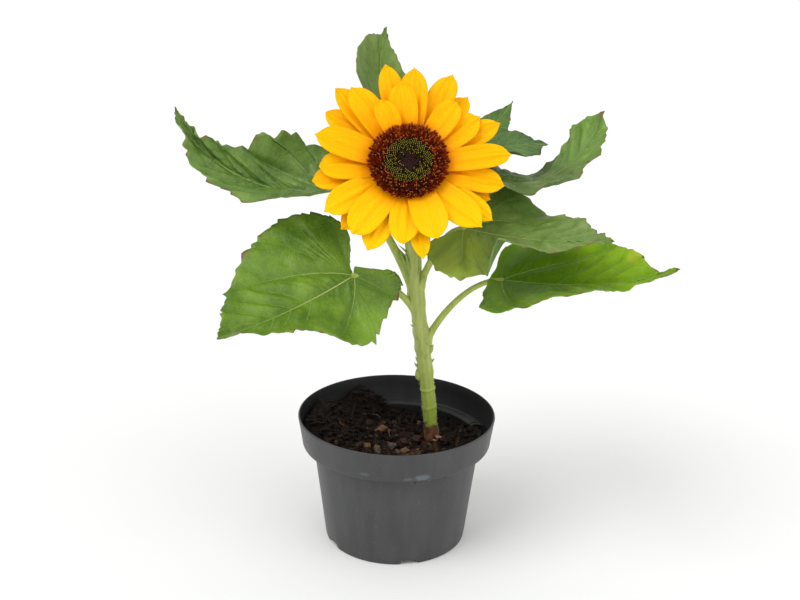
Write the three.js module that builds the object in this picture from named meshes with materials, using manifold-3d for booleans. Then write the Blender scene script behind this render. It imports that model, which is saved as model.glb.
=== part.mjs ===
// A dwarf sunflower in a round nursery pot: one upright stem, nine stalked heart-shaped
// leaves and one large flower head that leans forward over the pot's front edge.
// Lengths are millimetres and angles are degrees. +Z is up, -Y is the front and the
// origin is the centre of the pot's underside.
import * as THREE from 'three';
import { mergeGeometries, mergeVertices } from 'three/addons/utils/BufferGeometryUtils.js';
import Module from 'manifold-3d';

const wasm = await Module();
wasm.setup();

// ---------------------------------------------------------------- driving dimensions

const gap = 0.3; // clearance kept between neighbouring solids

const pot = {
  rimRadius: 65,
  height: 87,
  footRadius: 47,
  wall: 1.2,
  shoulderRadius: 55.1, // the plain wall just under the collar
  collarRadius: 62.3, // the collar's lower edge
  collarHeight: 19.5,
  ledge: 1.4, // thickness of the step between wall and collar
  lip: 0.5, // round on the rim's edges
  footHeight: 2.4, // the floor's clearance above the ground
  footWidth: 4.5,
  padRadius: 17, // the middle of the floor, which also meets the ground
  slots: 5,
  slotWidth: 12.3,
  slotBearing: 281.5,
  drainRadius: 4,
  drainCircle: 31,
  drainSides: 12,
  sides: 40,
};

const soil = {
  level: 64.5,
  roughness: 0.9,
  // banks of soil against the pot's wall: left behind, left, right and front
  banks: [
    { height: 16, x: -25, y: 54, spread: 15 },
    { height: 14, x: -52, y: 28, spread: 22 },
    { height: 12, x: -59, y: -5, spread: 24 },
    { height: 8.5, x: 58, y: 0, spread: 24 },
    { height: 5, x: 5, y: -56, spread: 30 },
  ],
  seatLevel: 65.7, // flat under the stem
  seatRadius: 7.5,
  seatSides: 16,
  sides: 28,
  ringWidth: 10,
};

const stem = {
  foot: 66, // height of the flat cut it stands on
  // centre line from the flat cut at soil level up to the back of the flower head
  line: [[24.6, 6, 62], [20.3, 6, 100], [16.9, 5, 129], [12.2, 3, 162], [9, 0.5, 196], [6.8, -2, 222]],
  footRadius: 6.2,
  radius: 4.9,
  topRadius: 4.3,
  flare: 9, // height over which the foot widens
  steps: 22,
  sides: 10,
};

const head = {
  centre: [4.7, -35, 262], // middle of the disc's front
  elevation: 36, // how far the flower's axis points above the horizon
  discRadius: 23.2,
  discDepth: 8.4,
  discCrown: 1.6,
  baseRadius: 25,
  baseDepth: 18, // from the disc's front back to the stem
  neckRadius: 6.5,
  sides: 28,
};

// Ray petals, whorl by whorl from the back to the front. Each petal is its bearing
// round the flower's axis, counted from the right, its reach from that axis and its
// width. foot is the whorl's height at the disc's edge and lift its slope beyond that.
const whorls = [
  {
    name: 'back', foot: -7.6, lift: 3,
    petals: [[52, 58.5, 13], [144, 61, 14], [190, 57.5, 14.5], [227, 55.5, 14], [337, 52, 13]],
  },
  {
    name: 'middle', foot: -5.6, lift: 7,
    petals: [
      [26, 60.5, 14], [67, 64, 15], [102, 66, 13.5], [133, 65.5, 14], [182.5, 52.5, 16],
      [212.5, 57.5, 16], [247, 59, 15], [278.5, 60, 12.5], [324, 60, 14], [348, 57.5, 14.5],
    ],
  },
  {
    name: 'front', foot: -3.6, lift: 11,
    petals: [
      [4.5, 60, 14], [34.5, 51.5, 16], [87, 60.5, 15.5], [126, 58.5, 15.5],
      [163.5, 57.5, 16.5], [235, 56, 17.5], [268, 51.5, 16.5], [315, 59, 16.5],
    ],
  },
  { name: 'top', foot: -1.6, lift: 15, petals: [[52, 46.5, 14.5], [95.5, 50, 15], [290, 52, 18]] },
  { name: 'crest', foot: 0.4, lift: 24, petals: [[115, 40, 12.5]] },
];

const petalShape = {
  thickness: 0.8,
  baseWidth: 0.46, // of the full width
  tipWidth: 0.2,
  widest: 0.48, // of the length
  channel: 1, // how far the long edges rise
  tipDroop: 2.2,
  lengthSteps: 5,
  widthSteps: 2,
};

const bladeShape = {
  thickness: 1.1,
  centre: 0.35, // of the blade's length, where its spokes meet
  spokes: 24,
  rings: 4,
};

// Leaves in the order they leave the stem. from is the stem height where the petiole
// starts, joint the point where petiole and blade meet. The midrib leaves it at pitch
// above the horizon and at a compass heading counted from the right towards the back;
// droop and bend are added evenly along it, curl near its tip. roll turns the blade
// about its midrib, twist adds to that along it, and full blunts its tip. For its left
// and its right half a blade has a width, a rearward lobe as a share of its length, a
// fold up from the midrib, a cup added towards the edge, and a sag added on the lobe.
const leaves = {
  low_right: {
    from: 131, start: [7, -1.5, 20], joint: [64, -5, 182], arrive: 22,
    full: 0.2, length: 119, pitch: 2, droop: 20, curl: 5, heading: -28, bend: -11, roll: -2, twist: 17,
    left: { width: 46, lobe: 0.08, fold: 28, cup: 0, sag: 0 },
    right: { width: 44, lobe: 0.05, fold: 3, cup: 7, sag: -21 },
  },
  low_left: {
    from: 142, start: [-6, -2, 18], joint: [-32, -19, 190], arrive: 18, approach: [-0.75, -0.55, 0.1],
    full: 0.05, length: 112, pitch: -27, droop: 40, curl: -4, heading: 211, bend: 39, roll: -38, twist: 32,
    left: { width: 44, lobe: 0.20, fold: 12, cup: -3, sag: -38 },
    right: { width: 52, lobe: 0.12, fold: 8, cup: -1, sag: 1 },
  },
  left: {
    from: 164, start: [-7, 1, 20], joint: [-42, 5, 237], arrive: 24,
    full: 0.1, length: 127, pitch: -20, droop: 83, curl: 6, heading: 165, bend: -3, roll: -28, twist: -32,
    left: { width: 40, lobe: 0.18, fold: 37, cup: 7, sag: 0 },
    right: { width: 35, lobe: 0.17, fold: 41, cup: 3, sag: -40 },
  },
  front_right: {
    from: 170, start: [10, -3, 12], joint: [39, -23, 219], arrive: 16,
    full: 0.3, length: 98, pitch: -7, droop: 25, curl: -8, heading: -21, bend: -23, roll: -1, twist: 33,
    left: { width: 43, lobe: 0.19, fold: -1, cup: -5, sag: 28 },
    right: { width: 40, lobe: 0.16, fold: 10, cup: 23, sag: -53 },
  },
  back: {
    from: 190, start: [1, 8, 12], joint: [9, 33, 222], arrive: 12,
    full: 0.2, length: 88, pitch: 8, droop: -30, curl: -10, heading: 98, bend: 8, roll: -6, twist: 10,
    left: { width: 36, lobe: 0.16, fold: 10, cup: -14, sag: -10 },
    right: { width: 34, lobe: 0.16, fold: 12, cup: -10, sag: -6 },
  },
  right: {
    from: 203, start: [8, 2, 14], joint: [52, 4, 247], arrive: 14,
    full: 0.5, length: 103, pitch: -27, droop: 106, curl: -14, heading: 9, bend: 29, roll: -21, twist: 46,
    left: { width: 34, lobe: 0.15, fold: -6, cup: -26, sag: 45 },
    right: { width: 33, lobe: 0.15, fold: 6, cup: 6, sag: -28 },
  },
  top: {
    from: 212, start: [-3, 8, 16], joint: [-10, 25, 262], arrive: 16,
    full: 0.15, length: 97, pitch: 57, droop: -26, curl: -9, heading: 104, bend: -25, roll: 37, twist: -16,
    left: { width: 36, lobe: 0.12, fold: 21, cup: 13, sag: 0 },
    right: { width: 25, lobe: 0.12, fold: 11, cup: 0, sag: 0 },
  },
  small_upper: {
    from: 219, start: [4, 8, 12], joint: [38.3, 46, 255.3], arrive: 12,
    length: 64, full: 0, pitch: 6, droop: 35, curl: 0, heading: 48, bend: 3, roll: 11, twist: 5,
    left: { width: 18, lobe: 0.12, fold: 10, cup: 0, sag: 0 },
    right: { width: 20, lobe: 0.12, fold: 6, cup: -3, sag: 0 },
  },
  small_lower: {
    from: 211, start: [8, 3, 12], joint: [45, 13, 258], arrive: 10,
    length: 62, full: 0.2, pitch: 8, droop: -16, curl: -1, heading: 31, bend: 6, roll: 15, twist: 25,
    left: { width: 20, lobe: 0.12, fold: 3, cup: -1, sag: 0 },
    right: { width: 22, lobe: 0.12, fold: 10, cup: 3, sag: 16 },
  },
};

// A leaf shorter than fullLength has a thinner petiole.
const petiole = { footRadius: 2.9, tipRadius: 1.5, fullLength: 90, steps: 10, sides: 6 };

const cutterLength = 20; // of the tools that cut through a wall or down into the soil

const materials = {
  pot: { color: 0x4e4e50, roughness: 0.5, metalness: 0 },
  soil: { color: 0x24160d, roughness: 0.95, metalness: 0 },
  stem: { color: 0x96aa5a, roughness: 0.6, metalness: 0 },
  petiole: { color: 0x8ca03c, roughness: 0.55, metalness: 0 },
  leaf: { color: 0x4a6b2c, roughness: 0.55, metalness: 0, side: THREE.DoubleSide },
  petal: { color: 0xffc400, roughness: 0.5, metalness: 0 },
  base: { color: 0x6f8f45, roughness: 0.6, metalness: 0 },
  disc: { color: 0x4a1c0c, roughness: 0.8, metalness: 0 },
};

// ---------------------------------------------------------------- helpers

const radians = THREE.MathUtils.degToRad;
const vector = (p) => new THREE.Vector3(...p);

// Moves every vertex of a geometry by a function and welds its seams.
function reshape(geometry, move) {
  geometry.deleteAttribute('normal');
  geometry.deleteAttribute('uv');
  const position = geometry.attributes.position;
  const point = new THREE.Vector3();
  for (let i = 0; i < position.count; i += 1) {
    move(point.fromBufferAttribute(position, i));
    position.setXYZ(i, point.x, point.y, point.z);
  }
  return mergeVertices(geometry, 1e-4);
}

function weld(geometry) {
  return reshape(geometry, () => {});
}

function solid(geometry) {
  const mesh = new wasm.Mesh({
    numProp: 3,
    vertProperties: new Float32Array(geometry.attributes.position.array),
    triVerts: new Uint32Array(geometry.index.array),
  });
  return new wasm.Manifold(mesh);
}

function geometryOf(manifold) {
  const mesh = manifold.getMesh();
  const geometry = new THREE.BufferGeometry();
  geometry.setAttribute('position', new THREE.BufferAttribute(new Float32Array(mesh.vertProperties), 3));
  geometry.setIndex(new THREE.BufferAttribute(new Uint32Array(mesh.triVerts), 1));
  return geometry;
}

// One geometry less others. Of the pieces that leaves, the largest is kept.
function cut(geometry, cutters) {
  let left = solid(geometry);
  for (const cutter of cutters) {
    left = left.subtract(solid(cutter));
  }
  const pieces = left.decompose().sort((a, b) => b.volume() - a.volume());
  return geometryOf(pieces[0]);
}

// A tapering round limb with flat ends along a curve.
function limb(curve, radiusAt, { steps, sides }) {
  const frames = curve.computeFrenetFrames(steps, false);
  const tube = new THREE.CylinderGeometry(1, 1, 1, sides, steps);
  return reshape(tube, (point) => {
    const step = Math.round((point.y + 0.5) * steps);
    const across = frames.normals[step];
    const along = frames.tangents[step];
    const other = new THREE.Vector3().crossVectors(across, along);
    const radius = radiusAt(step / steps);
    const { x, z } = point;
    point.copy(curve.getPointAt(step / steps));
    point.addScaledVector(across, x * radius).addScaledVector(other, z * radius);
  });
}

function turned(points, sides) {
  const profile = points.map(([r, z]) => new THREE.Vector2(r, z));
  return weld(new THREE.LatheGeometry(profile, sides).rotateX(Math.PI / 2));
}

// ---------------------------------------------------------------- pot and soil

function potRadiusAt(z) {
  const shoulder = pot.height - pot.collarHeight;
  return pot.footRadius + ((pot.shoulderRadius - pot.footRadius) * z) / shoulder;
}

// The pot's section, up the outside from the middle of the floor and down the inside.
function potProfile() {
  const shoulder = pot.height - pot.collarHeight;
  const floorTop = pot.footHeight + pot.wall;
  const ringInside = pot.footRadius - pot.footWidth;
  const inside = pot.rimRadius - pot.wall;
  return [
    [0, 0], [pot.padRadius, 0], [pot.padRadius + 1, pot.footHeight],
    [ringInside, pot.footHeight], [ringInside, 0], [pot.footRadius, 0],
    [pot.shoulderRadius, shoulder], [pot.collarRadius, shoulder],
    [pot.rimRadius, pot.height - pot.lip], [pot.rimRadius - pot.lip, pot.height],
    [inside + pot.lip / 2, pot.height], [inside, pot.height - pot.lip],
    [pot.collarRadius - pot.wall, shoulder + pot.ledge],
    [pot.shoulderRadius - pot.wall, shoulder + pot.ledge],
    [potRadiusAt(floorTop) - pot.wall, floorTop], [0, floorTop],
  ];
}

function makePot() {
  const body = turned(potProfile(), pot.sides);
  const cutters = [];
  for (let i = 0; i < pot.slots; i += 1) {
    const bearing = radians(pot.slotBearing + (360 / pot.slots) * i);
    const slot = new THREE.BoxGeometry(3 * pot.footWidth, pot.slotWidth, 2 * pot.footHeight);
    slot.translate(pot.footRadius - pot.footWidth, 0, 0).rotateZ(bearing);
    const drain = new THREE.CylinderGeometry(pot.drainRadius, pot.drainRadius, cutterLength, pot.drainSides);
    drain.rotateX(Math.PI / 2).translate(pot.drainCircle, 0, 0).rotateZ(bearing);
    cutters.push(weld(slot), weld(drain));
  }
  return cut(body, cutters);
}

function soilHeightAt(x, y) {
  let height = soil.level + soil.roughness * Math.sin(0.19 * x + 0.6) * Math.cos(0.23 * y - 0.4);
  for (const bank of soil.banks) {
    const away = Math.hypot(x - bank.x, y - bank.y) / bank.spread;
    height += bank.height * Math.exp(-(away ** 2));
  }
  return height;
}

// The room inside the pot, kept clear of its walls.
function potRoom() {
  const bottom = pot.footHeight + pot.wall + gap;
  const ledge = pot.height - pot.collarHeight + pot.ledge + gap;
  const wall = pot.wall + gap;
  return turned([
    [0, bottom], [potRadiusAt(bottom) - wall, bottom], [pot.shoulderRadius - wall, ledge],
    [pot.collarRadius - wall, ledge], [pot.rimRadius - wall - gap, pot.height], [0, pot.height],
  ], pot.sides);
}

function makeSoil() {
  const profile = [[0, 0], [pot.rimRadius, 0]];
  for (let radius = pot.rimRadius; radius > 0; radius -= soil.ringWidth) {
    profile.push([radius, soil.level]);
  }
  profile.push([0, soil.level]);
  const ground = reshape(turned(profile, soil.sides), (point) => {
    if (point.z > 1) {
      point.z = soilHeightAt(point.x, point.y);
    }
  });
  const [x, y] = stem.line[0];
  const seat = new THREE.CylinderGeometry(soil.seatRadius, soil.seatRadius, cutterLength, soil.seatSides);
  seat.rotateX(Math.PI / 2).translate(x, y, soil.seatLevel + cutterLength / 2);
  return cut(geometryOf(solid(potRoom()).intersect(solid(ground))), [weld(seat)]);
}

// ---------------------------------------------------------------- stem and petioles

const headAxis = new THREE.Vector3(0, -Math.cos(radians(head.elevation)), Math.sin(radians(head.elevation)));
const headRight = new THREE.Vector3(1, 0, 0);
const headUp = new THREE.Vector3().crossVectors(headAxis, headRight);

// A point of the flower head: out from its axis at a bearing, aside, and forward.
function headPoint(bearing, out, aside, forward) {
  const point = vector(head.centre).addScaledVector(headAxis, forward);
  const cos = Math.cos(radians(bearing));
  const sin = Math.sin(radians(bearing));
  point.addScaledVector(headRight, out * cos - aside * sin);
  return point.addScaledVector(headUp, out * sin + aside * cos);
}

const stemCurve = new THREE.CatmullRomCurve3(
  [
    ...stem.line.map(vector),
    headPoint(0, 0, 0, -head.baseDepth - 10),
    headPoint(0, 0, 0, -head.baseDepth - gap),
  ],
  false,
  'centripetal',
);

function makeStem(grow = 0) {
  const length = stemCurve.getLength();
  return limb(
    stemCurve,
    (t) => {
      const flare = Math.exp(-(((t * length) / stem.flare) ** 2));
      const plain = THREE.MathUtils.lerp(stem.radius, stem.topRadius, t ** 3);
      return plain + (stem.footRadius - stem.radius) * flare + grow;
    },
    stem,
  );
}

// What lies below the stem's flat cut.
function belowSoil() {
  const width = 4 * stem.footRadius;
  const block = new THREE.BoxGeometry(width, width, cutterLength);
  return weld(block.translate(stem.line[0][0], stem.line[0][1], stem.foot - cutterLength / 2));
}

// The stem's centre at a height, for the lower ends of the petioles.
function stemCentreAt(z) {
  let low = 0;
  let high = 1;
  for (let i = 0; i < 30; i += 1) {
    const middle = (low + high) / 2;
    if (stemCurve.getPointAt(middle).z < z) {
      low = middle;
    } else {
      high = middle;
    }
  }
  return stemCurve.getPointAt(low);
}

function petioleCurve(leaf, grow) {
  const foot = stemCentreAt(leaf.from);
  const joint = vector(leaf.joint);
  const approach = leaf.approach ? vector(leaf.approach).normalize() : direction(leaf.pitch, leaf.heading);
  return new THREE.CubicBezierCurve3(
    foot,
    foot.clone().add(vector(leaf.start)),
    joint.clone().addScaledVector(approach, -leaf.arrive),
    joint.clone().addScaledVector(approach, grow - gap),
  );
}

function petioleRadius(leaf, t) {
  const size = Math.min(1, leaf.length / petiole.fullLength);
  return size * THREE.MathUtils.lerp(petiole.footRadius, petiole.tipRadius, Math.sqrt(t));
}

function makePetiole(leaf, grow = 0) {
  return limb(petioleCurve(leaf, grow), (t) => petioleRadius(leaf, t) + grow, petiole);
}

// ---------------------------------------------------------------- leaf blades

function direction(pitch, heading) {
  const p = radians(pitch);
  const h = radians(heading);
  return new THREE.Vector3(Math.cos(p) * Math.cos(h), Math.cos(p) * Math.sin(h), Math.sin(p));
}

// The midrib as a list of stations, each with its point, its left and its normal.
function midrib(leaf, steps = 40) {
  const stations = [];
  const point = vector(leaf.joint);
  for (let i = 0; i <= steps; i += 1) {
    const u = i / steps;
    const curl = leaf.curl * Math.max(0, (u - 0.6) / 0.4) ** 2;
    const heading = leaf.heading + leaf.bend * u;
    const along = direction(leaf.pitch + leaf.droop * u + curl, heading);
    const level = direction(0, heading + 90);
    const up = new THREE.Vector3().crossVectors(along, level);
    const roll = radians(leaf.roll + leaf.twist * u);
    const left = level.multiplyScalar(Math.cos(roll)).addScaledVector(up, Math.sin(roll));
    const normal = new THREE.Vector3().crossVectors(along, left);
    stations.push({ point: point.clone(), along, left, normal });
    point.addScaledVector(along, leaf.length / steps);
  }
  return stations;
}

// Half a heart-shaped outline from the joint round to the tip: along the midrib in
// blade lengths, and out from it in half widths.
function halfOutline(lobe, full) {
  const points = [
    [0, 0], [-lobe, 0.40], [-0.72 * lobe, 0.74], [0.12, 1], [0.40, 0.86 + 0.08 * full],
    [0.68, 0.46 + 0.28 * full], [0.88, 0.14 + 0.22 * full], [1, 0],
  ];
  return new THREE.SplineCurve(points.map(([u, w]) => new THREE.Vector2(u, w)));
}

// Where a point of the flat blade lies on the leaf: u along the midrib in blade
// lengths, w to the left of it in millimetres, lift off the surface.
function bladePoint(leaf, stations, u, w, lift) {
  const steps = stations.length - 1;
  const station = stations[THREE.MathUtils.clamp(Math.round(u * steps), 0, steps)];
  const half = w >= 0 ? leaf.left : leaf.right;
  const out = Math.abs(w);
  const onLobe = 1 - THREE.MathUtils.smoothstep(u, 0.05, 0.5);
  const angle = radians(half.fold + half.sag * onLobe + (half.cup * out) / half.width / 2);
  const over = u * leaf.length - (stations.indexOf(station) * leaf.length) / steps;
  return station.point.clone()
    .addScaledVector(station.along, over)
    .addScaledVector(station.left, w * Math.cos(angle))
    .addScaledVector(station.normal, out * Math.sin(angle) + lift);
}

// A ball whose lower half mirrors the upper one, triangle by triangle: flattened and
// bent, its two walls stay side by side and don't cross.
function mirroredBall({ spokes, rings }) {
  const upper = new THREE.SphereGeometry(1, spokes, rings, 0, 2 * Math.PI, 0, Math.PI / 2);
  const lower = upper.clone().scale(1, -1, 1);
  lower.index.array.reverse();
  return mergeGeometries([upper, lower]);
}

// A blade is a thin lens: a flattened ball whose poles meet in the middle of the blade
// and whose equator is the outline.
function makeBlade(leaf) {
  const stations = midrib(leaf);
  const left = halfOutline(leaf.left.lobe, leaf.full);
  const right = halfOutline(leaf.right.lobe, leaf.full);
  const ball = mirroredBall(bladeShape);
  return reshape(ball, (point) => {
    const reach = 1 - Math.abs(1 - Math.acos(THREE.MathUtils.clamp(point.y, -1, 1)) / (Math.PI / 2));
    const turn = Math.atan2(-point.z, point.x);
    const isLeft = turn >= 0;
    const rim = (isLeft ? left : right).getPoint(1 - Math.abs(turn) / Math.PI);
    const width = isLeft ? leaf.left.width : -leaf.right.width;
    const u = THREE.MathUtils.lerp(bladeShape.centre, rim.x, reach);
    const lift = Math.sign(point.y) * Math.sqrt(1 - Math.min(1, reach) ** 2) * (bladeShape.thickness / 2);
    point.copy(bladePoint(leaf, stations, u, rim.y * width * reach, reach > 0.999 ? 0 : lift));
  });
}

// ---------------------------------------------------------------- flower head

// A profile turned about the flower's axis, in radius and height forward of the disc.
function turnedOnHead(points) {
  const matrix = new THREE.Matrix4().makeBasis(headRight, headUp, headAxis).setPosition(vector(head.centre));
  return turned(points, head.sides).applyMatrix4(matrix);
}

function makeFlowerBase() {
  const front = -head.discDepth;
  return turnedOnHead([
    [0, -head.baseDepth], [head.neckRadius, -head.baseDepth],
    [head.neckRadius + 5, -head.baseDepth + 1.5], [head.baseRadius - 6, -head.baseDepth + 4.5],
    [head.baseRadius, front - 1], [head.baseRadius - 1, front], [0, front],
  ]);
}

function makeDisc() {
  const back = -head.discDepth + gap;
  const edge = head.discRadius;
  return turnedOnHead([
    [0, back], [edge - 1, back], [edge, back + 1], [edge, -0.4], [edge - 1.5, 0.8],
    [edge * 0.72, head.discCrown], [edge * 0.4, head.discCrown * 0.7], [0, head.discCrown * 0.3],
  ]);
}

function petalWidthAt(s) {
  const { baseWidth, tipWidth, widest } = petalShape;
  if (s < widest) {
    return baseWidth + (1 - baseWidth) * Math.sin((Math.PI / 2) * (s / widest));
  }
  return 1 - (1 - tipWidth) * ((s - widest) / (1 - widest)) ** 2.3;
}

function makePetal(whorl, [bearing, reach, width]) {
  const { thickness, channel, tipDroop, lengthSteps, widthSteps } = petalShape;
  const start = head.discRadius + gap;
  const length = reach - start;
  const slab = new THREE.BoxGeometry(1, thickness, 1, lengthSteps, 1, widthSteps);
  return reshape(slab, (point) => {
    const s = point.x + 0.5;
    const side = -2 * point.z;
    const slope = Math.tan(radians(whorl.lift)) * length * s;
    const rise = slope + channel * petalWidthAt(s) * side ** 2 - tipDroop * s ** 3;
    const aside = (side * width * petalWidthAt(s)) / 2;
    point.copy(headPoint(bearing, start + length * s, aside, whorl.foot + rise + point.y));
  });
}

// ---------------------------------------------------------------- assembly

const plant = new THREE.Group();
plant.name = 'potted_sunflower';

function add(name, geometry, material) {
  const mesh = new THREE.Mesh(geometry, new THREE.MeshStandardMaterial(materials[material]));
  mesh.name = name;
  plant.add(mesh);
}

add('pot', makePot(), 'pot');
add('soil', makeSoil(), 'soil');
add('stem', cut(makeStem(), [belowSoil()]), 'stem');

const stemRoom = makeStem(gap);
for (const [name, leaf] of Object.entries(leaves)) {
  add(`petiole_${name}`, cut(makePetiole(leaf), [stemRoom]), 'petiole');
  add(`leaf_${name}`, cut(makeBlade(leaf), [makePetiole(leaf, gap)]), 'leaf');
}

add('flower_base', makeFlowerBase(), 'base');
add('flower_disc', makeDisc(), 'disc');
for (const whorl of whorls) {
  whorl.petals.forEach((petal, i) => add(`petal_${whorl.name}_${i + 1}`, makePetal(whorl, petal), 'petal'));
}

export default plant;
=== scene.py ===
import math
import random

import bmesh
import bpy
import numpy as np
from mathutils import Matrix, Vector, geometry, noise
from mathutils.bvhtree import BVHTree


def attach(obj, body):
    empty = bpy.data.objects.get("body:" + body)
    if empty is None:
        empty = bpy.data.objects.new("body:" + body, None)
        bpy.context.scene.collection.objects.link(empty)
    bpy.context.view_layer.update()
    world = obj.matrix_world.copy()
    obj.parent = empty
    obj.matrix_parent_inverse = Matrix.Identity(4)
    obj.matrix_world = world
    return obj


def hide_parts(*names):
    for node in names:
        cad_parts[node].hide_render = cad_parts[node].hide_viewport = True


# A potted dwarf sunflower. Sizes in the dictionaries are millimetres and degrees;
# +Z is up, -Y the front and +X the right. mm turns them into the scene's metres.
mm = 0.001
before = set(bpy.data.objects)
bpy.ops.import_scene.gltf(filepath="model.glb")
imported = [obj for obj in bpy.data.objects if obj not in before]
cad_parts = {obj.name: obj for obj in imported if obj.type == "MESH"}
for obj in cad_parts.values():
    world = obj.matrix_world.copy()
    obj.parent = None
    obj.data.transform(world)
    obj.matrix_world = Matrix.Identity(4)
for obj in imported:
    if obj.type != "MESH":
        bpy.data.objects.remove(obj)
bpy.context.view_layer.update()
print("frame loaded:", len(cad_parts), "nodes")


# ---- small tools that every piece uses


def linear(hexColour):
    parts = [int(hexColour[i:i + 2], 16) / 255 for i in (1, 3, 5)]
    return [p / 12.92 if p <= 0.04045 else ((p + 0.055) / 1.055) ** 2.4 for p in parts] + [1.0]


# Gives a node's inputs a value, a hex colour, a socket or another node's first output.
def feed(tree, node, inputs):
    for name, value in inputs.items():
        if isinstance(value, bpy.types.Node):
            value = next(socket for socket in value.outputs if socket.enabled)
        if isinstance(value, bpy.types.NodeSocket):
            tree.links.new(value, node.inputs[name])
        else:
            node.inputs[name].default_value = linear(value) if isinstance(value, str) else value


# Adds a shader node. A ramp lists places with hex colours or greys.
def addNode(tree, kind, inputs=None, ramp=(), **settings):
    node = tree.nodes.new("ShaderNode" + kind)
    for name, value in settings.items():
        setattr(node, name, value)
    if ramp:
        elements = node.color_ramp.elements
        while len(elements) < len(ramp):
            elements.new(0.5)
        for element, (position, colour) in zip(elements, ramp):
            element.position = position
            element.color = linear(colour) if isinstance(colour, str) else [colour] * 3 + [1]
    feed(tree, node, inputs or {})
    return node


def newMaterial(name, shine):
    material = bpy.data.materials.new(name)
    material.use_nodes = True
    shader = material.node_tree.nodes["Principled BSDF"]
    feed(material.node_tree, shader, shine)
    return material, material.node_tree, shader


# One colour, lighter and darker by a share from speck to speck, for small joined things.
def plainSkin(name, colour, roughness, spread=0.25):
    material, tree, shader = newMaterial(name, {"Roughness": roughness, "IOR": 1.42,
        "Specular IOR Level": 0.25})
    place = addNode(tree, "TexCoord").outputs["Object"]
    speck = addNode(tree, "TexNoise", {"Vector": place, "Scale": 1 / (1.2 * mm), "Detail": 2.0})
    shade, light = ([min(1, c * share) for c in linear(colour)[:3]] + [1] for share in (1 - spread,
        1 + spread))
    mixed = addNode(tree, "Mix", {"Factor": speck, "A": shade, "B": light}, data_type="RGBA")
    feed(tree, shader, {"Base Color": mixed})
    return material


def newObject(name, data):
    made = bpy.data.objects.new(name, data)
    bpy.context.scene.collection.objects.link(made)
    return made


def toMesh(bm, name):
    mesh = bpy.data.meshes.new(name)
    bm.to_mesh(mesh)
    bm.free()
    return mesh


# Turns a finished bmesh into a piece that rides with the plant.
def addPiece(bm, name, materials, nodes=(), smooth=True):
    mesh = toMesh(bm, name)
    mesh.polygons.foreach_set("use_smooth", [smooth] * len(mesh.polygons))
    for material in materials:
        mesh.materials.append(material)
    piece = newObject(name, mesh)
    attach(piece, "root")
    if nodes:
        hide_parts(*nodes)
    return piece


# Gives a sheet its thickness, in mm. A second material, if there is one, goes beneath.
def thicken(piece, thickness, offset=0):
    wall = piece.modifiers.new("thickness", "SOLIDIFY")
    wall.thickness = thickness * mm
    wall.offset = offset
    wall.material_offset = len(piece.data.materials) - 1


# A flat grid moved into shape. shape(a, b) takes a from 0 to 1 and b from -1 to 1 and
# gives points, and if wanted uv, lift along the normal and named values per vertex.
def shapedGrid(alongSteps, acrossSteps, shape, merge=0.02):
    bm = bmesh.new()
    bmesh.ops.create_grid(bm, x_segments=alongSteps, y_segments=acrossSteps, size=1)
    bm.verts.index_update()
    flat = np.array([v.co for v in bm.verts])
    made = shape((flat[:, 0] + 1) / 2, flat[:, 1])
    for vert, point in zip(bm.verts, made["points"] * mm):
        vert.co = point
    if "uv" in made:
        layer = bm.loops.layers.uv.new("surface")
        uv = made["uv"] * mm
        for face in bm.faces:
            for loop in face.loops:
                loop[layer].uv = uv[loop.vert.index]
    for name, values in made.get("values", {}).items():
        layer = bm.verts.layers.float.new(name)
        for vert, value in zip(bm.verts, values):
            vert[layer] = value
    if "lift" in made:
        bm.normal_update()
        for vert, lift in zip(bm.verts, made["lift"] * mm):
            vert.co += vert.normal * lift
    bmesh.ops.remove_doubles(bm, verts=bm.verts, dist=merge * mm)
    return bm


# Adds a finished part, or a placed copy of it for each place, to a joined bmesh.
def join(joined, part, places=(Matrix(),)):
    shape = toMesh(part, "part")
    for place in places:
        copy = shape.copy()
        copy.transform(place)
        joined.from_mesh(copy)
        bpy.data.meshes.remove(copy)
    bpy.data.meshes.remove(shape)


def scatter(template, places):
    joined = bmesh.new()
    join(joined, template, places)
    return joined


# A placing matrix: at a point in mm, its z towards aim, turned by spin, sized in mm.
def placed(point, aim, spin=0.0, size=(1, 1, 1)):
    turn = Vector(aim).to_track_quat("Z", "Y").to_matrix().to_4x4()
    scale = Matrix.Diagonal([*(s * mm for s in size), 1])
    return Matrix.Translation(Vector(point) * mm) @ turn @ Matrix.Rotation(spin, 4, "Z") @ scale


def smoothStep(x, low, high):
    t = np.clip((x - low) / (high - low), 0, 1)
    return t * t * (3 - 2 * t)


# A bell curve: 1 at its middle, nearly 0 two spreads away.
def bell(x, middle, spread):
    return np.exp(-(((x - middle) / spread) ** 2))


# Values between the rows of tables; share runs from 0 at their start to 1 at their end.
def between(share, *tables):
    place = share * (len(tables[0]) - 1)
    k = np.minimum(place.astype(int), len(tables[0]) - 2)
    f = (place - k)[:, None]
    return [table[k] * (1 - f) + table[k + 1] * f for table in tables]


# From start to end by way of bend, without reaching it.
def arc(s, start, bend, end):
    return (1 - s)**2 * start + 2 * s * (1 - s) * bend + s**2 * end


def rough(points, size, seed=0.0):
    return np.array([noise.noise(Vector(p) / size + Vector((seed, seed * 0.7, -seed))) for p in points])


def unit(vectors):
    vectors = np.asarray(vectors, float)
    return vectors / np.linalg.norm(vectors, axis=-1, keepdims=True)


# ---- camera, light and floor

view = {
    "place": (0.001, -0.6745, 0.3908),
    "down": 18.5,
    "tilt": 0.93,
    "lens": 50,
    "floor": "#f7f7f6",
    "sky": "#ffffff",
    "skyStrength": 0.72,
}

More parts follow.
